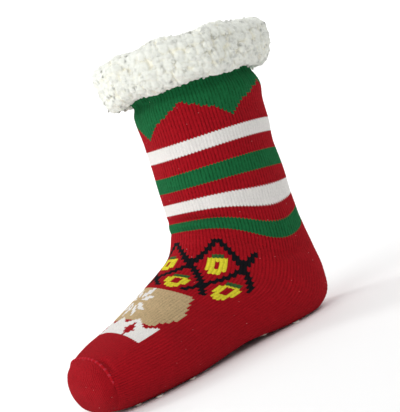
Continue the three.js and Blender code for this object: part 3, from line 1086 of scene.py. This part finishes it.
@dataclass(frozen=True)
class KnittedUpper:
    """The knit in three lengths of one tube: striped leg, heel with foot, and toe pocket."""

    fabric: Fabric
    colourwork: Colourwork
    start_down: float = 9.2
    foot_down: float = 161.0
    # Painted shade in the valleys between wales: its strength on dyed and on white yarn, how much less where
    # the foot stretches the knit, and its random spread from stitch to stitch.
    painted_valley_shade: float = 0.5
    pale_painted_valley_shade: float = 0.1
    foot_stretch: float = 0.6
    stretch_fade: float = 40.0
    stretch_past_seam: float = 15.0
    valley_shade_spread: tuple[float, float] = (0.2, 1.4)
    valley_shade_courses: int = 400
    toe_courses: int = 44
    toe_course_shift: int = 20

    def build(self, finish: AcrylicStockinette) -> list[bpy.types.Object]:
        """Knits all three lengths.

        Args:
            finish: The yarn's finish.

        Returns:
            The three pieces.
        """
        material = finish.material()
        pitch = self.fabric.course_mm
        leg = range(round(self.start_down / pitch), round(self.foot_down / pitch) + 1)
        foot = range(leg[-1], round(self.fabric.seam_down / pitch) + 1)
        pieces = [self.tube("knit_leg", leg, material), self.tube("knit_foot", foot, material),
                  self.toe_pocket(material)]
        for piece in pieces:
            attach(piece, "root")
            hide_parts("knit_upper")
        return pieces

    def tube(self, name: str, courses: range, material: bpy.types.Material) -> bpy.types.Object:
        """Knits a length of the tube.

        Args:
            name: The piece's name.
            courses: The courses that it holds.
            material: The yarn's material.

        Returns:
            The piece.
        """
        fabric = self.fabric
        per = fabric.rows_a_course
        rows = np.arange(courses[0] * per, courses[-1] * per + 1)
        row, column = np.meshgrid(rows, np.arange(fabric.columns), indexing="ij")
        share = column / fabric.columns
        last_row = round(fabric.seam_down / fabric.course_mm) * per
        down = row * fabric.course_mm / per
        to_seam = np.clip((last_row - row) / per, 0, 1)
        down = down - fabric.chevron(column) * to_seam
        down = np.where(row == last_row, fabric.seam_down, np.minimum(down, fabric.seam_down))
        base = fabric.base(fabric.sagged(down, share), share)
        wale_mm = np.linalg.norm(np.roll(base, -1, axis=1) - np.roll(base, 1, axis=1), axis=2)
        relief = fabric.stitch_relief(column, row, wale_mm * fabric.columns_a_wale / 2)
        on_top = np.cos(2 * math.pi * share) >= 0
        relief = np.where((row == last_row) & on_top, fabric.seam_dip_mm, relief)
        points = fabric.place_points(down, share, relief)
        piece = make_piece(name, points, grid_faces(*points.shape[:2], closed=True), material)
        self.dress(piece, column[:-1], row[:-1], row[:-1] // per)
        return piece

    def dress(self, piece: bpy.types.Object, column: np.ndarray, row: np.ndarray, course: np.ndarray) -> None:
        """Gives each face its stitch's yarn, painted shade in the valleys between wales, and UVs that count
        wales and courses.

        Args:
            piece: The knitted mesh.
            column: Mesh column of each face.
            row: Mesh row of each face.
            course: Course number of each face.
        """
        fabric = self.fabric
        wale = column // fabric.columns_a_wale
        stitches = self.colourwork.yarns(wale, course, (course + 0.5) * fabric.course_mm)
        rng = np.random.default_rng(SEED)
        colours = self.colourwork.dyes(stitches, rng)
        corner_columns = column[..., None] + np.array([0, 0, 1, 1])
        # Painted shade: corners in the valleys between wales are darkened in random patches, less on white
        # yarn and where the foot is stretched.
        in_valley = corner_columns % fabric.columns_a_wale == 0
        corners = np.repeat(colours[..., None, :], 4, axis=-2)
        pale, dyed = self.pale_painted_valley_shade, self.painted_valley_shade
        depth = np.array([pale if yarn is Yarn.WHITE else dyed for yarn in Yarn])
        valley_shade_patches = rng.uniform(*self.valley_shade_spread, (fabric.wales, self.valley_shade_courses))
        valley_shade = depth[stitches] * valley_shade_patches[wale % fabric.wales, course]
        down = course * fabric.course_mm
        stretched = smooth_step((down - self.foot_down) / self.stretch_fade)
        stretched *= smooth_step((fabric.seam_down + self.stretch_past_seam - down) / self.stretch_fade)
        valley_shade *= 1 - self.foot_stretch * stretched
        corners[..., :3] *= np.where(in_valley, 1 - valley_shade[..., None], 1.0)[..., None]
        paint(piece, "yarn", corners.reshape(-1, 4))
        u = corner_columns / fabric.columns_a_wale
        v = (row[..., None] + np.array([0, 1, 1, 0])) / fabric.rows_a_course
        layer = piece.data.uv_layers.new(name="stitches")
        layer.data.foreach_set("uv", np.stack([u, v], axis=-1).astype(np.float32).ravel())

    def toe_pocket(self, material: bpy.types.Material) -> bpy.types.Object:
        """Knits the pocket that the sole's wales make as they turn up round the toes to the seam.

        Args:
            material: The yarn's material.

        Returns:
            The piece.
        """
        fabric = self.fabric
        half = fabric.columns // 2
        rows = self.toe_courses * fabric.rows_a_course
        row, column = np.meshgrid(np.arange(rows + 1), np.arange(half + 1) + half // 2, indexing="ij")
        bottom = 2 * math.pi * column / fabric.columns
        chord = np.abs(np.cos(bottom))
        y = chord * (2 * row / rows - 1)
        x = np.sin(bottom)
        reach = np.sqrt(x * x + y * y).clip(0, 1)
        edge = (row == 0) | (row == rows) | (column == half // 2) | (column == half // 2 + half)
        reach = np.where(edge, 1.0, reach)
        share = np.arctan2(x, y) / (2 * math.pi)
        down = fabric.tip_down - (fabric.tip_down - fabric.seam_down) * reach
        base = fabric.base(down, share)
        wale_mm = np.linalg.norm(np.gradient(base, axis=1), axis=2) * fabric.columns_a_wale
        sewn = edge & (row > 0)
        relief = np.where(sewn, fabric.seam_dip_mm, fabric.stitch_relief(column, row, wale_mm))
        points = fabric.place_points(down, share, relief)
        piece = make_piece("knit_toe", points, grid_faces(rows + 1, half + 1, closed=False), material)
        cell_row, cell_column = row[:-1, :-1], column[:-1, :-1]
        first_course = round(fabric.seam_down / fabric.course_mm) + self.toe_course_shift
        self.dress(piece, cell_column, cell_row, cell_row // fabric.rows_a_course + first_course)
        return piece


@dataclass(frozen=True)
class ToeSeam:
    """The overlocked seam across the top of the toes: a low cord with one loop a wale."""

    fabric: Fabric
    radius_mm: float = 1.15
    loop_mm: float = 0.42
    sides: int = 8
    steps_a_wale: int = 4
    past_hinge_wales: int = 1
    proud_mm: float = 0.1
    fade_wales: float = 3.0
    end_share: float = 0.25
    peek: str = "b02c3a"
    peeks_every: int = 3

    def build(self, material: bpy.types.Material) -> bpy.types.Object:
        """Makes the cord.

        Args:
            material: The yarn's material.

        Returns:
            The piece.
        """
        fabric = self.fabric
        reach = fabric.wales // 4 + self.past_hinge_wales
        steps = 2 * reach * self.steps_a_wale
        wale = np.linspace(-reach, reach, steps + 1)
        share = wale / fabric.wales
        down = np.full_like(share, fabric.seam_down)[None]
        middle = fabric.place_points(down, share[None], self.proud_mm)[0]
        out = unit(fabric.place_points(down, share[None], self.proud_mm + 1)[0] - middle)
        ahead = unit(np.gradient(middle, axis=0))
        beside = np.cross(ahead, out)
        fade = smooth_step((reach - np.abs(wale)) / self.fade_wales)[:, None]
        turn = np.linspace(0, 2 * math.pi, self.sides, endpoint=False)[None]
        loop = self.loop_mm * np.sin(2 * math.pi * wale[:, None] + turn)
        radius = (self.radius_mm * (self.end_share + (1 - self.end_share) * fade) + loop * fade)[..., None]
        ring = np.cos(turn)[..., None] * out[:, None] + np.sin(turn)[..., None] * beside[:, None]
        points = middle[:, None] + radius * ring
        faces = grid_faces(len(wale), self.sides, closed=True)
        piece = make_piece("toe_seam", points, faces[:, ::-1], material)
        stitch = np.arange(len(faces)) // (self.sides * self.steps_a_wale)
        peeks = (stitch % self.peeks_every == 0)[:, None]
        thread = np.where(peeks, linear(self.peek), linear(Yarn.RED.value))
        paint(piece, "yarn", np.repeat(thread, faces.shape[1], axis=0))
        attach(piece, "root")
        return piece


# The pile


@dataclass(frozen=True)
class Curls:
    """Short curled tufts that stand out of the pile, each closed, round and blunt, as one joined mesh."""

    length_mm: float = 3.2
    length_spread: tuple[float, float] = (0.55, 1.2)
    radius_mm: float = 1.3
    curl: float = 1.6
    curl_spread: tuple[float, float] = (0.5, 1.3)
    twist: float = 0.2
    upright: float = 0.85
    follow: float = 0.35
    stray: float = 0.55
    axis_stray: float = 0.6
    axis_nudge: float = 0.01
    hang: float = 0.1
    sunk_mm: float = 1.9
    hollow_light_share: float = 0.6
    blend: float = 0.9
    sides: int = 5
    taper: tuple[float, ...] = (1.0, 1.0, 0.9, 0.7)

    def grow(
        self, name: str, roots: np.ndarray, normals: np.ndarray, lay: np.ndarray, hollows: np.ndarray,
        material: bpy.types.Material, rng: np.random.Generator,
    ) -> bpy.types.Object:
        """Grows one tuft from each root.

        Args:
            name: The piece's name.
            roots: Where the tufts start, in millimetres.
            normals: The pile's own direction there.
            lay: The way that the tufts of each clump lean together.
            hollows: How deep in the pile each root lies, 0 to 1, which sets its tuft's painted light.
            material: The pile's material.
            rng: Source of the tufts' differences.

        Returns:
            The piece.
        """
        count = len(roots)
        segments = len(self.taper)
        own = unit(rng.normal(size=(count, 3)))
        heading = unit(self.upright * normals + self.follow * lay + self.stray * own + [0, 0, -self.hang])
        axis = unit(np.cross(heading, unit(lay + self.axis_stray * own + self.axis_nudge)))
        length = self.length_mm * rng.uniform(*self.length_spread, (count, 1)) / segments
        bend = self.curl / segments * rng.uniform(*self.curl_spread, (count, 1))
        spot = roots - self.sunk_mm * normals
        nodes = []
        for share in self.taper:
            beside = np.cross(heading, axis)
            radius = self.radius_mm * share
            for k in range(self.sides):
                turn = 2 * math.pi * k / self.sides
                nodes.append(spot + radius * (math.cos(turn) * axis + math.sin(turn) * beside))
            spot = spot + length * heading + self.twist * length * axis
            heading = heading * np.cos(bend) + np.cross(axis, heading) * np.sin(bend)
        points = np.stack([*nodes, spot], axis=1)
        quads = grid_faces(segments, self.sides, closed=True)[:, ::-1]
        ring = np.arange(self.sides) + (segments - 1) * self.sides
        tip = np.stack([ring, np.roll(ring, -1), np.full(self.sides, segments * self.sides)], axis=1)
        root = np.array([[0, k + 1, k] for k in range(1, self.sides - 1)])
        tuft = np.vstack([quads[:, [0, 1, 2]], quads[:, [0, 2, 3]], tip, root])
        faces = (np.arange(count)[:, None, None] * points.shape[1] + tuft[None]).reshape(-1, 3)
        piece = make_piece(name, points, faces, material)
        self.soften(piece, np.repeat(normals, points.shape[1], axis=0))
        # Painted light: each tuft takes a share of its root's lighter hollow colour.
        paint_hollow_light(piece, np.repeat(hollows * self.hollow_light_share, tuft.size))
        return piece

    def soften(self, piece: bpy.types.Object, pile: np.ndarray) -> None:
        """Turns the tufts' normals towards the pile's own, as light that soaks through fine fibres evens out.

        Args:
            piece: The mesh of tufts.
            pile: The pile's direction at each point of the mesh.
        """
        own = np.zeros(pile.size, dtype=np.float32)
        piece.data.vertices.foreach_get("normal", own)
        mixed = unit((1 - self.blend) * own.reshape(-1, 3) + self.blend * pile)
        piece.data.normals_split_custom_set_from_vertices(mixed.astype(np.float32))


def paint_hollow_light(piece: bpy.types.Object, depth: np.ndarray) -> None:
    """Stores how deep in the pile each corner lies, which sets the painted light of the pile's material
    there.

    Args:
        piece: The mesh object.
        depth: 0 at the tips to 1 in the hollows, one value a corner.
    """
    paint(piece, "painted_hollow_light", np.stack([depth, depth, depth, np.ones_like(depth)], axis=1))


class Clumps(NamedTuple):
    """How pile gathers: the radius of a clump, how far it stands out, and the least lump on it."""

    size: float
    height: float
    fine_mm: float = 2.6
    fine_share: float = 0.12
    seat: float = 0.35
    hollow_width: float = 1.4

    def gather(
        self, points: np.ndarray, normals: np.ndarray, centres: np.ndarray,
    ) -> tuple[np.ndarray, np.ndarray, np.ndarray]:
        """Gathers pile into round clumps with narrow hollows between them.

        Args:
            points: The fleece's own surface, in millimetres.
            normals: Its directions out.
            centres: Middles of the clumps.

        Returns:
            The moved points, how deep each place lies between clumps (0 to 1, sets the painted light), and
            the number of each place's clump.
        """
        tree = kdtree.KDTree(len(centres))
        for i, centre in enumerate(centres):
            tree.insert(centre, i)
        tree.balance()
        found = [tree.find(point) for point in points]
        distance = np.array([hit[2] for hit in found])
        dome = np.sqrt(np.clip(1 - (distance / self.size) ** 2, 0, 1))
        fine = self.fine_share * soft_noise(points, self.fine_mm, SEED + 5)
        moved = points + normals * (self.height * (dome - self.seat + fine))[:, None]
        return moved, np.clip(1 - dome * self.hollow_width, 0, 1), np.array([hit[1] for hit in found])


class Wave(NamedTuple):
    """Unevenness round the cuff: its number of waves, their shift in radians, and their height."""

    count: int
    shift: float
    height: float

    def at(self, turn: np.ndarray) -> np.ndarray:
        """Returns the wave's height at angles round the leg."""
        return self.height * np.sin(self.count * turn + self.shift)


class Coat(NamedTuple):
    """One coat of tufts, between two points of the cuff's profile."""

    name: str
    start: int
    end: int


@dataclass(frozen=True)
class PileCuff:
    """The turned-down cuff of sherpa fleece, folded over the knitted edge like a hairpin."""

    last: Last
    drop_mm: float = 34.0
    rise_mm: float = 12.0
    pile_mm: float = 17.5
    slot_mm: float = 0.8
    slot_top_mm: float = 0.3
    wall_mm: float = 3.3
    lining_mm: float = 6.5
    lining_drop_mm: float = 24.0
    steps_round: int = 620
    steps_over: int = 150
    tilt_mm: float = 5.0
    front_bulk_mm: float = 1.6
    front_droop_mm: float = 4.5
    droop_turn: float = -0.1
    droop_reach: float = 0.4
    edge_waves: tuple[Wave, ...] = (Wave(3, 0.6, 1.6), Wave(8, 0.0, 1.1))
    bulk_waves: tuple[Wave, ...] = (Wave(5, 1.0, 0.9), Wave(11, 0.0, 0.6))
    lump_mm: float = 1.3
    lump_size_mm: float = 15.0
    clumps: Clumps = Clumps(5.2, 2.6)
    nubs: Clumps = Clumps(2.6, 1.2)
    nub_hollow: float = 0.5
    clump_spacing: float = 1.45
    clump_slip: float = 0.3
    clump_stray: float = 0.2
    coats: tuple[Coat, ...] = (Coat("skirt", 0, 4), Coat("fold", 4, 7), Coat("inside", 7, 12))
    curls_a_coat: int = 1000
    root_scatter_mm: float = 0.45

    def profile(self) -> np.ndarray:
        """Returns the fold's section from the slot's outer lip: out from the knit, and up from the collar."""
        pile, drop, rise = self.pile_mm, self.drop_mm, self.rise_mm
        inside = -self.wall_mm - self.lining_mm
        return np.array([
            (self.slot_mm, -0.76 * drop), (0.35 * pile, -0.85 * drop), (0.75 * pile, -0.8 * drop),
            (0.98 * pile, -0.6 * drop), (1.03 * pile, -0.32 * drop), (0.98 * pile, -0.02 * drop),
            (0.8 * pile, 0.34 * rise), (0.42 * pile, 0.58 * rise), (0.0, 0.6 * rise),
            (0.75 * inside, 0.45 * rise), (inside, -0.5 * rise), (inside, -0.75 * self.lining_drop_mm),
            (0.85 * inside, -self.lining_drop_mm),
        ])

    def build(self, finish: SherpaPile) -> list[bpy.types.Object]:
        """Makes the fleece and its tufts.

        Args:
            finish: The pile's finish.

        Returns:
            The cuff and its coats of tufts.
        """
        material = finish.material()
        spans = len(self.profile()) - 1
        section = spline(self.profile(), np.linspace(0, spans, self.steps_over))
        angle = np.linspace(0, 2 * math.pi, self.steps_round, endpoint=False)
        step, turn = np.meshgrid(np.arange(self.steps_over), angle, indexing="ij")
        smooth, normals = self.surface(section[step, 0], section[step, 1], turn)
        rng = np.random.default_rng(SEED + 2)
        flat_normals = normals.reshape(-1, 3)
        lumps = self.lump_mm * soft_noise(smooth.reshape(-1, 3), self.lump_size_mm, SEED + 6)
        smooth += normals * lumps.reshape(*turn.shape, 1)
        centres = self.clump_centres(smooth, self.clumps.size, rng)
        moved, painted_hollow_light, clump = self.clumps.gather(smooth.reshape(-1, 3), flat_normals, centres)
        nubs = self.clump_centres(moved.reshape(smooth.shape), self.nubs.size, rng)
        moved, between, _ = self.nubs.gather(moved, flat_normals, nubs)
        # The nubs' hollows add to the painted light.
        painted_hollow_light = np.clip(painted_hollow_light + between * self.nub_hollow, 0, 1)
        pieces = [self.fleece(moved, painted_hollow_light, angle, material)]
        swirl = unit(rng.normal(size=centres.shape))
        lay = unit(unit(moved - centres[clump]) + swirl[clump])
        grid = moved.reshape(smooth.shape)
        for coat in self.coats:
            band = [round(point * self.steps_over / spans) for point in (coat.start, coat.end)]
            chosen = self.spread(grid, *band, self.curls_a_coat, rng)
            roots = moved[chosen] + rng.normal(0, self.root_scatter_mm, (self.curls_a_coat, 3))
            pieces.append(Curls().grow(
                f"pile_cuff_curls_{coat.name}", roots, flat_normals[chosen], lay[chosen], painted_hollow_light[chosen],
                material, rng))
        for piece in pieces:
            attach(piece, "root")
        return pieces

    def surface(self, out: np.ndarray, up: np.ndarray, turn: np.ndarray) -> tuple[np.ndarray, np.ndarray]:
        """The smooth fold, tilted and a little uneven, drooping at the front.

        Args:
            out: How far outside the knit each point of the profile lies.
            up: How far above the collar.
            turn: Its angle round the leg.

        Returns:
            Points in the frame, in millimetres, and the directions out of the fold there.
        """
        outside = smooth_step(out / self.pile_mm)
        skirt = outside * np.clip(-up / self.drop_mm, 0, 1)
        from_front = (turn + math.pi) % (2 * math.pi) - math.pi
        edge = sum(wave.at(turn) for wave in self.edge_waves)
        edge = edge - self.front_droop_mm * bell(from_front - self.droop_turn, self.droop_reach)
        bulk = self.front_bulk_mm * np.cos(turn) + sum(wave.at(turn) for wave in self.bulk_waves)
        up = up + self.tilt_mm * np.cos(turn) + skirt * edge
        out = out + outside * bulk
        smooth = self.last.in_frame(self.last.leg_outline(up, out, turn))
        beside = np.roll(smooth, -1, axis=1) - np.roll(smooth, 1, axis=1)
        return smooth, unit(np.cross(beside, np.gradient(smooth, axis=0)))

    def fleece(
        self, moved: np.ndarray, painted_hollow_light: np.ndarray, angle: np.ndarray, material: bpy.types.Material,
    ) -> bpy.types.Object:
        """Makes the closed hairpin of fleece, with the slot that the knitted edge sits in.

        Args:
            moved: Points of the clumped pile.
            painted_hollow_light: How deep each point lies between clumps, which sets its painted light.
            angle: Angles of the columns.
            material: The pile's material.

        Returns:
            The piece.
        """
        top = self.slot_top_mm
        slot = ((-self.wall_mm, -self.lining_drop_mm), (-self.wall_mm, top), (self.slot_mm, top))
        rings = [self.last.leg_outline(np.full_like(angle, up), np.full_like(angle, out), angle)
                 for out, up in slot]
        points = np.vstack([moved, *(self.last.in_frame(ring) for ring in rings)])
        rows = self.steps_over + len(slot)
        faces = grid_faces(rows + 1, self.steps_round, closed=True)[:, ::-1] % len(points)
        cuff = make_piece("pile_cuff_fleece", points, faces, material)
        # The slot's rings are painted with the full hollow light.
        depth = np.concatenate([painted_hollow_light, np.ones(len(slot) * self.steps_round)])
        paint_hollow_light(cuff, depth[faces.ravel()])
        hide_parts("pile_cuff")
        return cuff

    def clump_centres(self, smooth: np.ndarray, radius: float, rng: np.random.Generator) -> np.ndarray:
        """Middles of the clumps, in rows over the fold with a little wandering.

        Args:
            smooth: The fleece's grid, rows over the fold and columns round it.
            radius: Radius of a clump.
            rng: Source of the wandering.

        Returns:
            One middle a row.
        """
        spacing = radius * self.clump_spacing
        over = np.linalg.norm(np.diff(smooth[:, 0], axis=0), axis=1).sum()
        rows = round(over / spacing)
        centres = []
        for row in range(rows + 1):
            ring = smooth[round(row * (self.steps_over - 1) / rows)]
            around = np.linalg.norm(np.roll(ring, -1, axis=0) - ring, axis=1).sum()
            count = round(around / spacing)
            slips = rng.uniform(-self.clump_slip, self.clump_slip, count)
            places = (np.arange(count) + 0.5 * (row % 2) + slips) / count
            picked = ring[(places * self.steps_round).astype(int) % self.steps_round]
            centres.append(picked + rng.normal(0, self.clump_stray * radius, picked.shape))
        return np.vstack(centres)

    def spread(
        self, grid: np.ndarray, start: int, end: int, count: int, rng: np.random.Generator,
    ) -> np.ndarray:
        """Picks roots evenly over a band of the fleece.

        Args:
            grid: The clumped fleece.
            start: First row of the band.
            end: Row after its last.
            count: How many roots.
            rng: Source of the picks.

        Returns:
            Point numbers.
        """
        down = np.linalg.norm(np.gradient(grid, axis=0), axis=2)
        beside = np.linalg.norm(np.roll(grid, -1, axis=1) - grid, axis=2)
        area = (down * beside)[start:end].ravel()
        return start * self.steps_round + rng.choice(len(area), count, p=area / area.sum())


@dataclass(frozen=True)
class FleeceLining:
    """The fleece that lines the leg, heel and foot, shorter and flatter than the cuff's."""

    fabric: Fabric
    from_down: float = 16.0
    short_of_tip_mm: float = 2.0
    wall_mm: float = 2.5
    pile_mm: float = 3.0
    columns: int = 216
    row_mm: float = 2.4
    clumps: Clumps = Clumps(4.6, 1.5)
    points_a_clump: int = 14

    def build(self, finish: SherpaPile) -> bpy.types.Object:
        """Makes the lining.

        Args:
            finish: The pile's finish.

        Returns:
            The piece.
        """
        fabric = self.fabric
        to_down = fabric.tip_down - self.short_of_tip_mm
        rows = round((to_down - self.from_down) / self.row_mm)
        down, share = np.meshgrid(np.linspace(self.from_down, to_down, rows),
                                  np.arange(self.columns) / self.columns, indexing="ij")
        inwards = -fabric.outwards(down, share)
        surface = fabric.last.in_frame(fabric.base(down, share) + inwards * (self.wall_mm + self.pile_mm))
        rng = np.random.default_rng(SEED + 3)
        flat, flat_inwards = surface.reshape(-1, 3), inwards.reshape(-1, 3)
        centres = flat[rng.choice(len(flat), len(flat) // self.points_a_clump, replace=False)]
        # The lining's hollows are painted lighter too: painted light.
        moved, painted_hollow_light, _ = self.clumps.gather(flat, flat_inwards, centres)
        faces = grid_faces(rows, self.columns, closed=True)[:, ::-1]
        piece = make_piece("fleece_lining", moved, faces, finish.material())
        paint_hollow_light(piece, painted_hollow_light[faces.ravel()])
        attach(piece, "root")
        return piece


@dataclass(frozen=True)
class SoleGrips:
    """The round grips under the sole, which keep their own solids."""

    def dress(self, finish: MouldedSilicone) -> int:
        """Gives every grip its silicone.

        Args:
            finish: The silicone's finish.

        Returns:
            How many grips there are.
        """
        material = finish.material()
        grips = [node for name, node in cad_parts.items() if name.startswith("grip_")]
        for grip in grips:
            grip.data.materials.clear()
            grip.data.materials.append(material)
        return len(grips)


# The studio


class Lamp(NamedTuple):
    """A square soft light: where it hangs and what it aims at, its side in metres, and its watts."""

    name: str
    place: tuple[float, float, float]
    aim: tuple[float, float, float]
    size: float
    watts: float


SOCK_MIDDLE = (0.006, 0.022, 0.1225)
BACKDROP = (-2.2, 1.1, 0.4)
LAMPS = (
    Lamp("key", (0.6, -1.7, 1.25), SOCK_MIDDLE, 1.8, 25.0),
    Lamp("paper_left", (-1.5, -0.9, 1.5), BACKDROP, 1.2, 26.0),
    Lamp("paper_right", (-0.3, 1.9, 1.5), BACKDROP, 1.2, 26.0),
)


@dataclass(frozen=True)
class Studio:
    """A pale paper sweep, soft lights and the camera."""

    azimuth_deg: float = 62.0
    elevation_deg: float = 4.0
    roll_deg: float = 22.0
    distance: float = 1.12
    lens_mm: float = 116.0
    surround: float = 0.61
    paper_front_mm: float = 2500.0
    paper_back_mm: float = 1500.0
    paper_bend_mm: float = 1500.0
    paper_top_mm: float = 4500.0
    paper_half_width_mm: float = 5000.0
    bend_steps: int = 25

    def build(self, paper: SeamlessPaper) -> None:
        """Sets up floor, lights and camera.

        Args:
            paper: The sweep's finish.
        """
        self.sweep(paper)
        self.lights()
        self.camera()

    def view_direction(self) -> Vector:
        """Returns the direction from the sock to the camera."""
        azimuth, elevation = math.radians(self.azimuth_deg), math.radians(self.elevation_deg)
        return Vector((math.sin(azimuth) * math.cos(elevation), -math.cos(azimuth) * math.cos(elevation),
                       math.sin(elevation)))

    def sweep(self, paper: SeamlessPaper) -> None:
        """Lays the paper on the floor and curves it up behind the sock.

        Args:
            paper: Its finish.
        """
        back = -self.view_direction()
        back = np.array(Vector((back.x, back.y, 0)).normalized())
        beside = np.array([-back[1], back[0], 0])
        turns = np.linspace(0, math.pi / 2, self.bend_steps)
        bend = self.paper_bend_mm
        run = [(-self.paper_front_mm, 0.0),
               *zip(self.paper_back_mm + bend * np.sin(turns), bend * (1 - np.cos(turns))),
               (self.paper_back_mm + bend, self.paper_top_mm)]
        across = np.array([-1, 0, 1]) * self.paper_half_width_mm
        points = np.array([far * back + side * beside + [0, 0, up] for far, up in run for side in across])
        faces = grid_faces(len(run), len(across), closed=False)[:, ::-1]
        floor = make_piece("paper_sweep", points, faces, paper.material())

    def lights(self) -> None:
        """Hangs a large key light, two lamps for the paper and a pale surround."""
        scene = bpy.context.scene
        world = bpy.data.worlds.new("studio")
        world.use_nodes = True
        world.node_tree.nodes["Background"].inputs["Color"].default_value = (1.0, 1.0, 1.0, 1.0)
        world.node_tree.nodes["Background"].inputs["Strength"].default_value = self.surround
        scene.world = world
        for lamp in LAMPS:
            light = bpy.data.lights.new(lamp.name, "AREA")
            light.size = lamp.size
            light.energy = lamp.watts
            self.hang(light, Vector(lamp.place), Vector(lamp.aim) - Vector(lamp.place), 0.0)
        scene.view_settings.view_transform = "Standard"

    def camera(self) -> None:
        """Stands the camera at the photograph's angle to the sock, rolled as the photograph leans."""
        lens = bpy.data.cameras.new("camera")
        lens.lens = self.lens_mm
        direction = self.view_direction()
        place = Vector(SOCK_MIDDLE) + direction * self.distance
        bpy.context.scene.camera = self.hang(lens, place, -direction, -self.roll_deg)

    def hang(
        self, thing: bpy.types.Light | bpy.types.Camera, place: Vector, heading: Vector, roll_deg: float,
    ) -> bpy.types.Object:
        """Hangs a light or the camera.

        Args:
            thing: The light or camera data.
            place: Where it hangs, in metres.
            heading: The way that it points.
            roll_deg: How far it is rolled about that way.

        Returns:
            Its object.
        """
        holder = bpy.data.objects.new(thing.name, thing)
        turn = heading.to_track_quat("-Z", "Y").to_matrix().to_4x4()
        roll = Matrix.Rotation(math.radians(roll_deg), 4, "Z")
        holder.matrix_world = Matrix.Translation(place) @ turn @ roll
        bpy.context.scene.collection.objects.link(holder)
        return holder


def main() -> None:
    """Builds the sock and its studio, and reports each piece."""
    logging.basicConfig(level=logging.INFO, format="%(message)s")
    Studio().build(SeamlessPaper())
    last = Last()
    fabric = Fabric(last)
    yarn = AcrylicStockinette()
    pile = SherpaPile()
    knit = KnittedUpper(fabric, Colourwork(fabric))
    pieces = knit.build(yarn)
    pieces.append(ToeSeam(fabric).build(pieces[0].data.materials[0]))
    pieces += PileCuff(last).build(pile)
    pieces.append(FleeceLining(fabric).build(pile))
    for piece in pieces:
        log.info("%s: %d faces", piece.name, len(piece.data.polygons))
    log.info("%d grips", SoleGrips().dress(MouldedSilicone()))


if __name__ == "__main__":
    main()
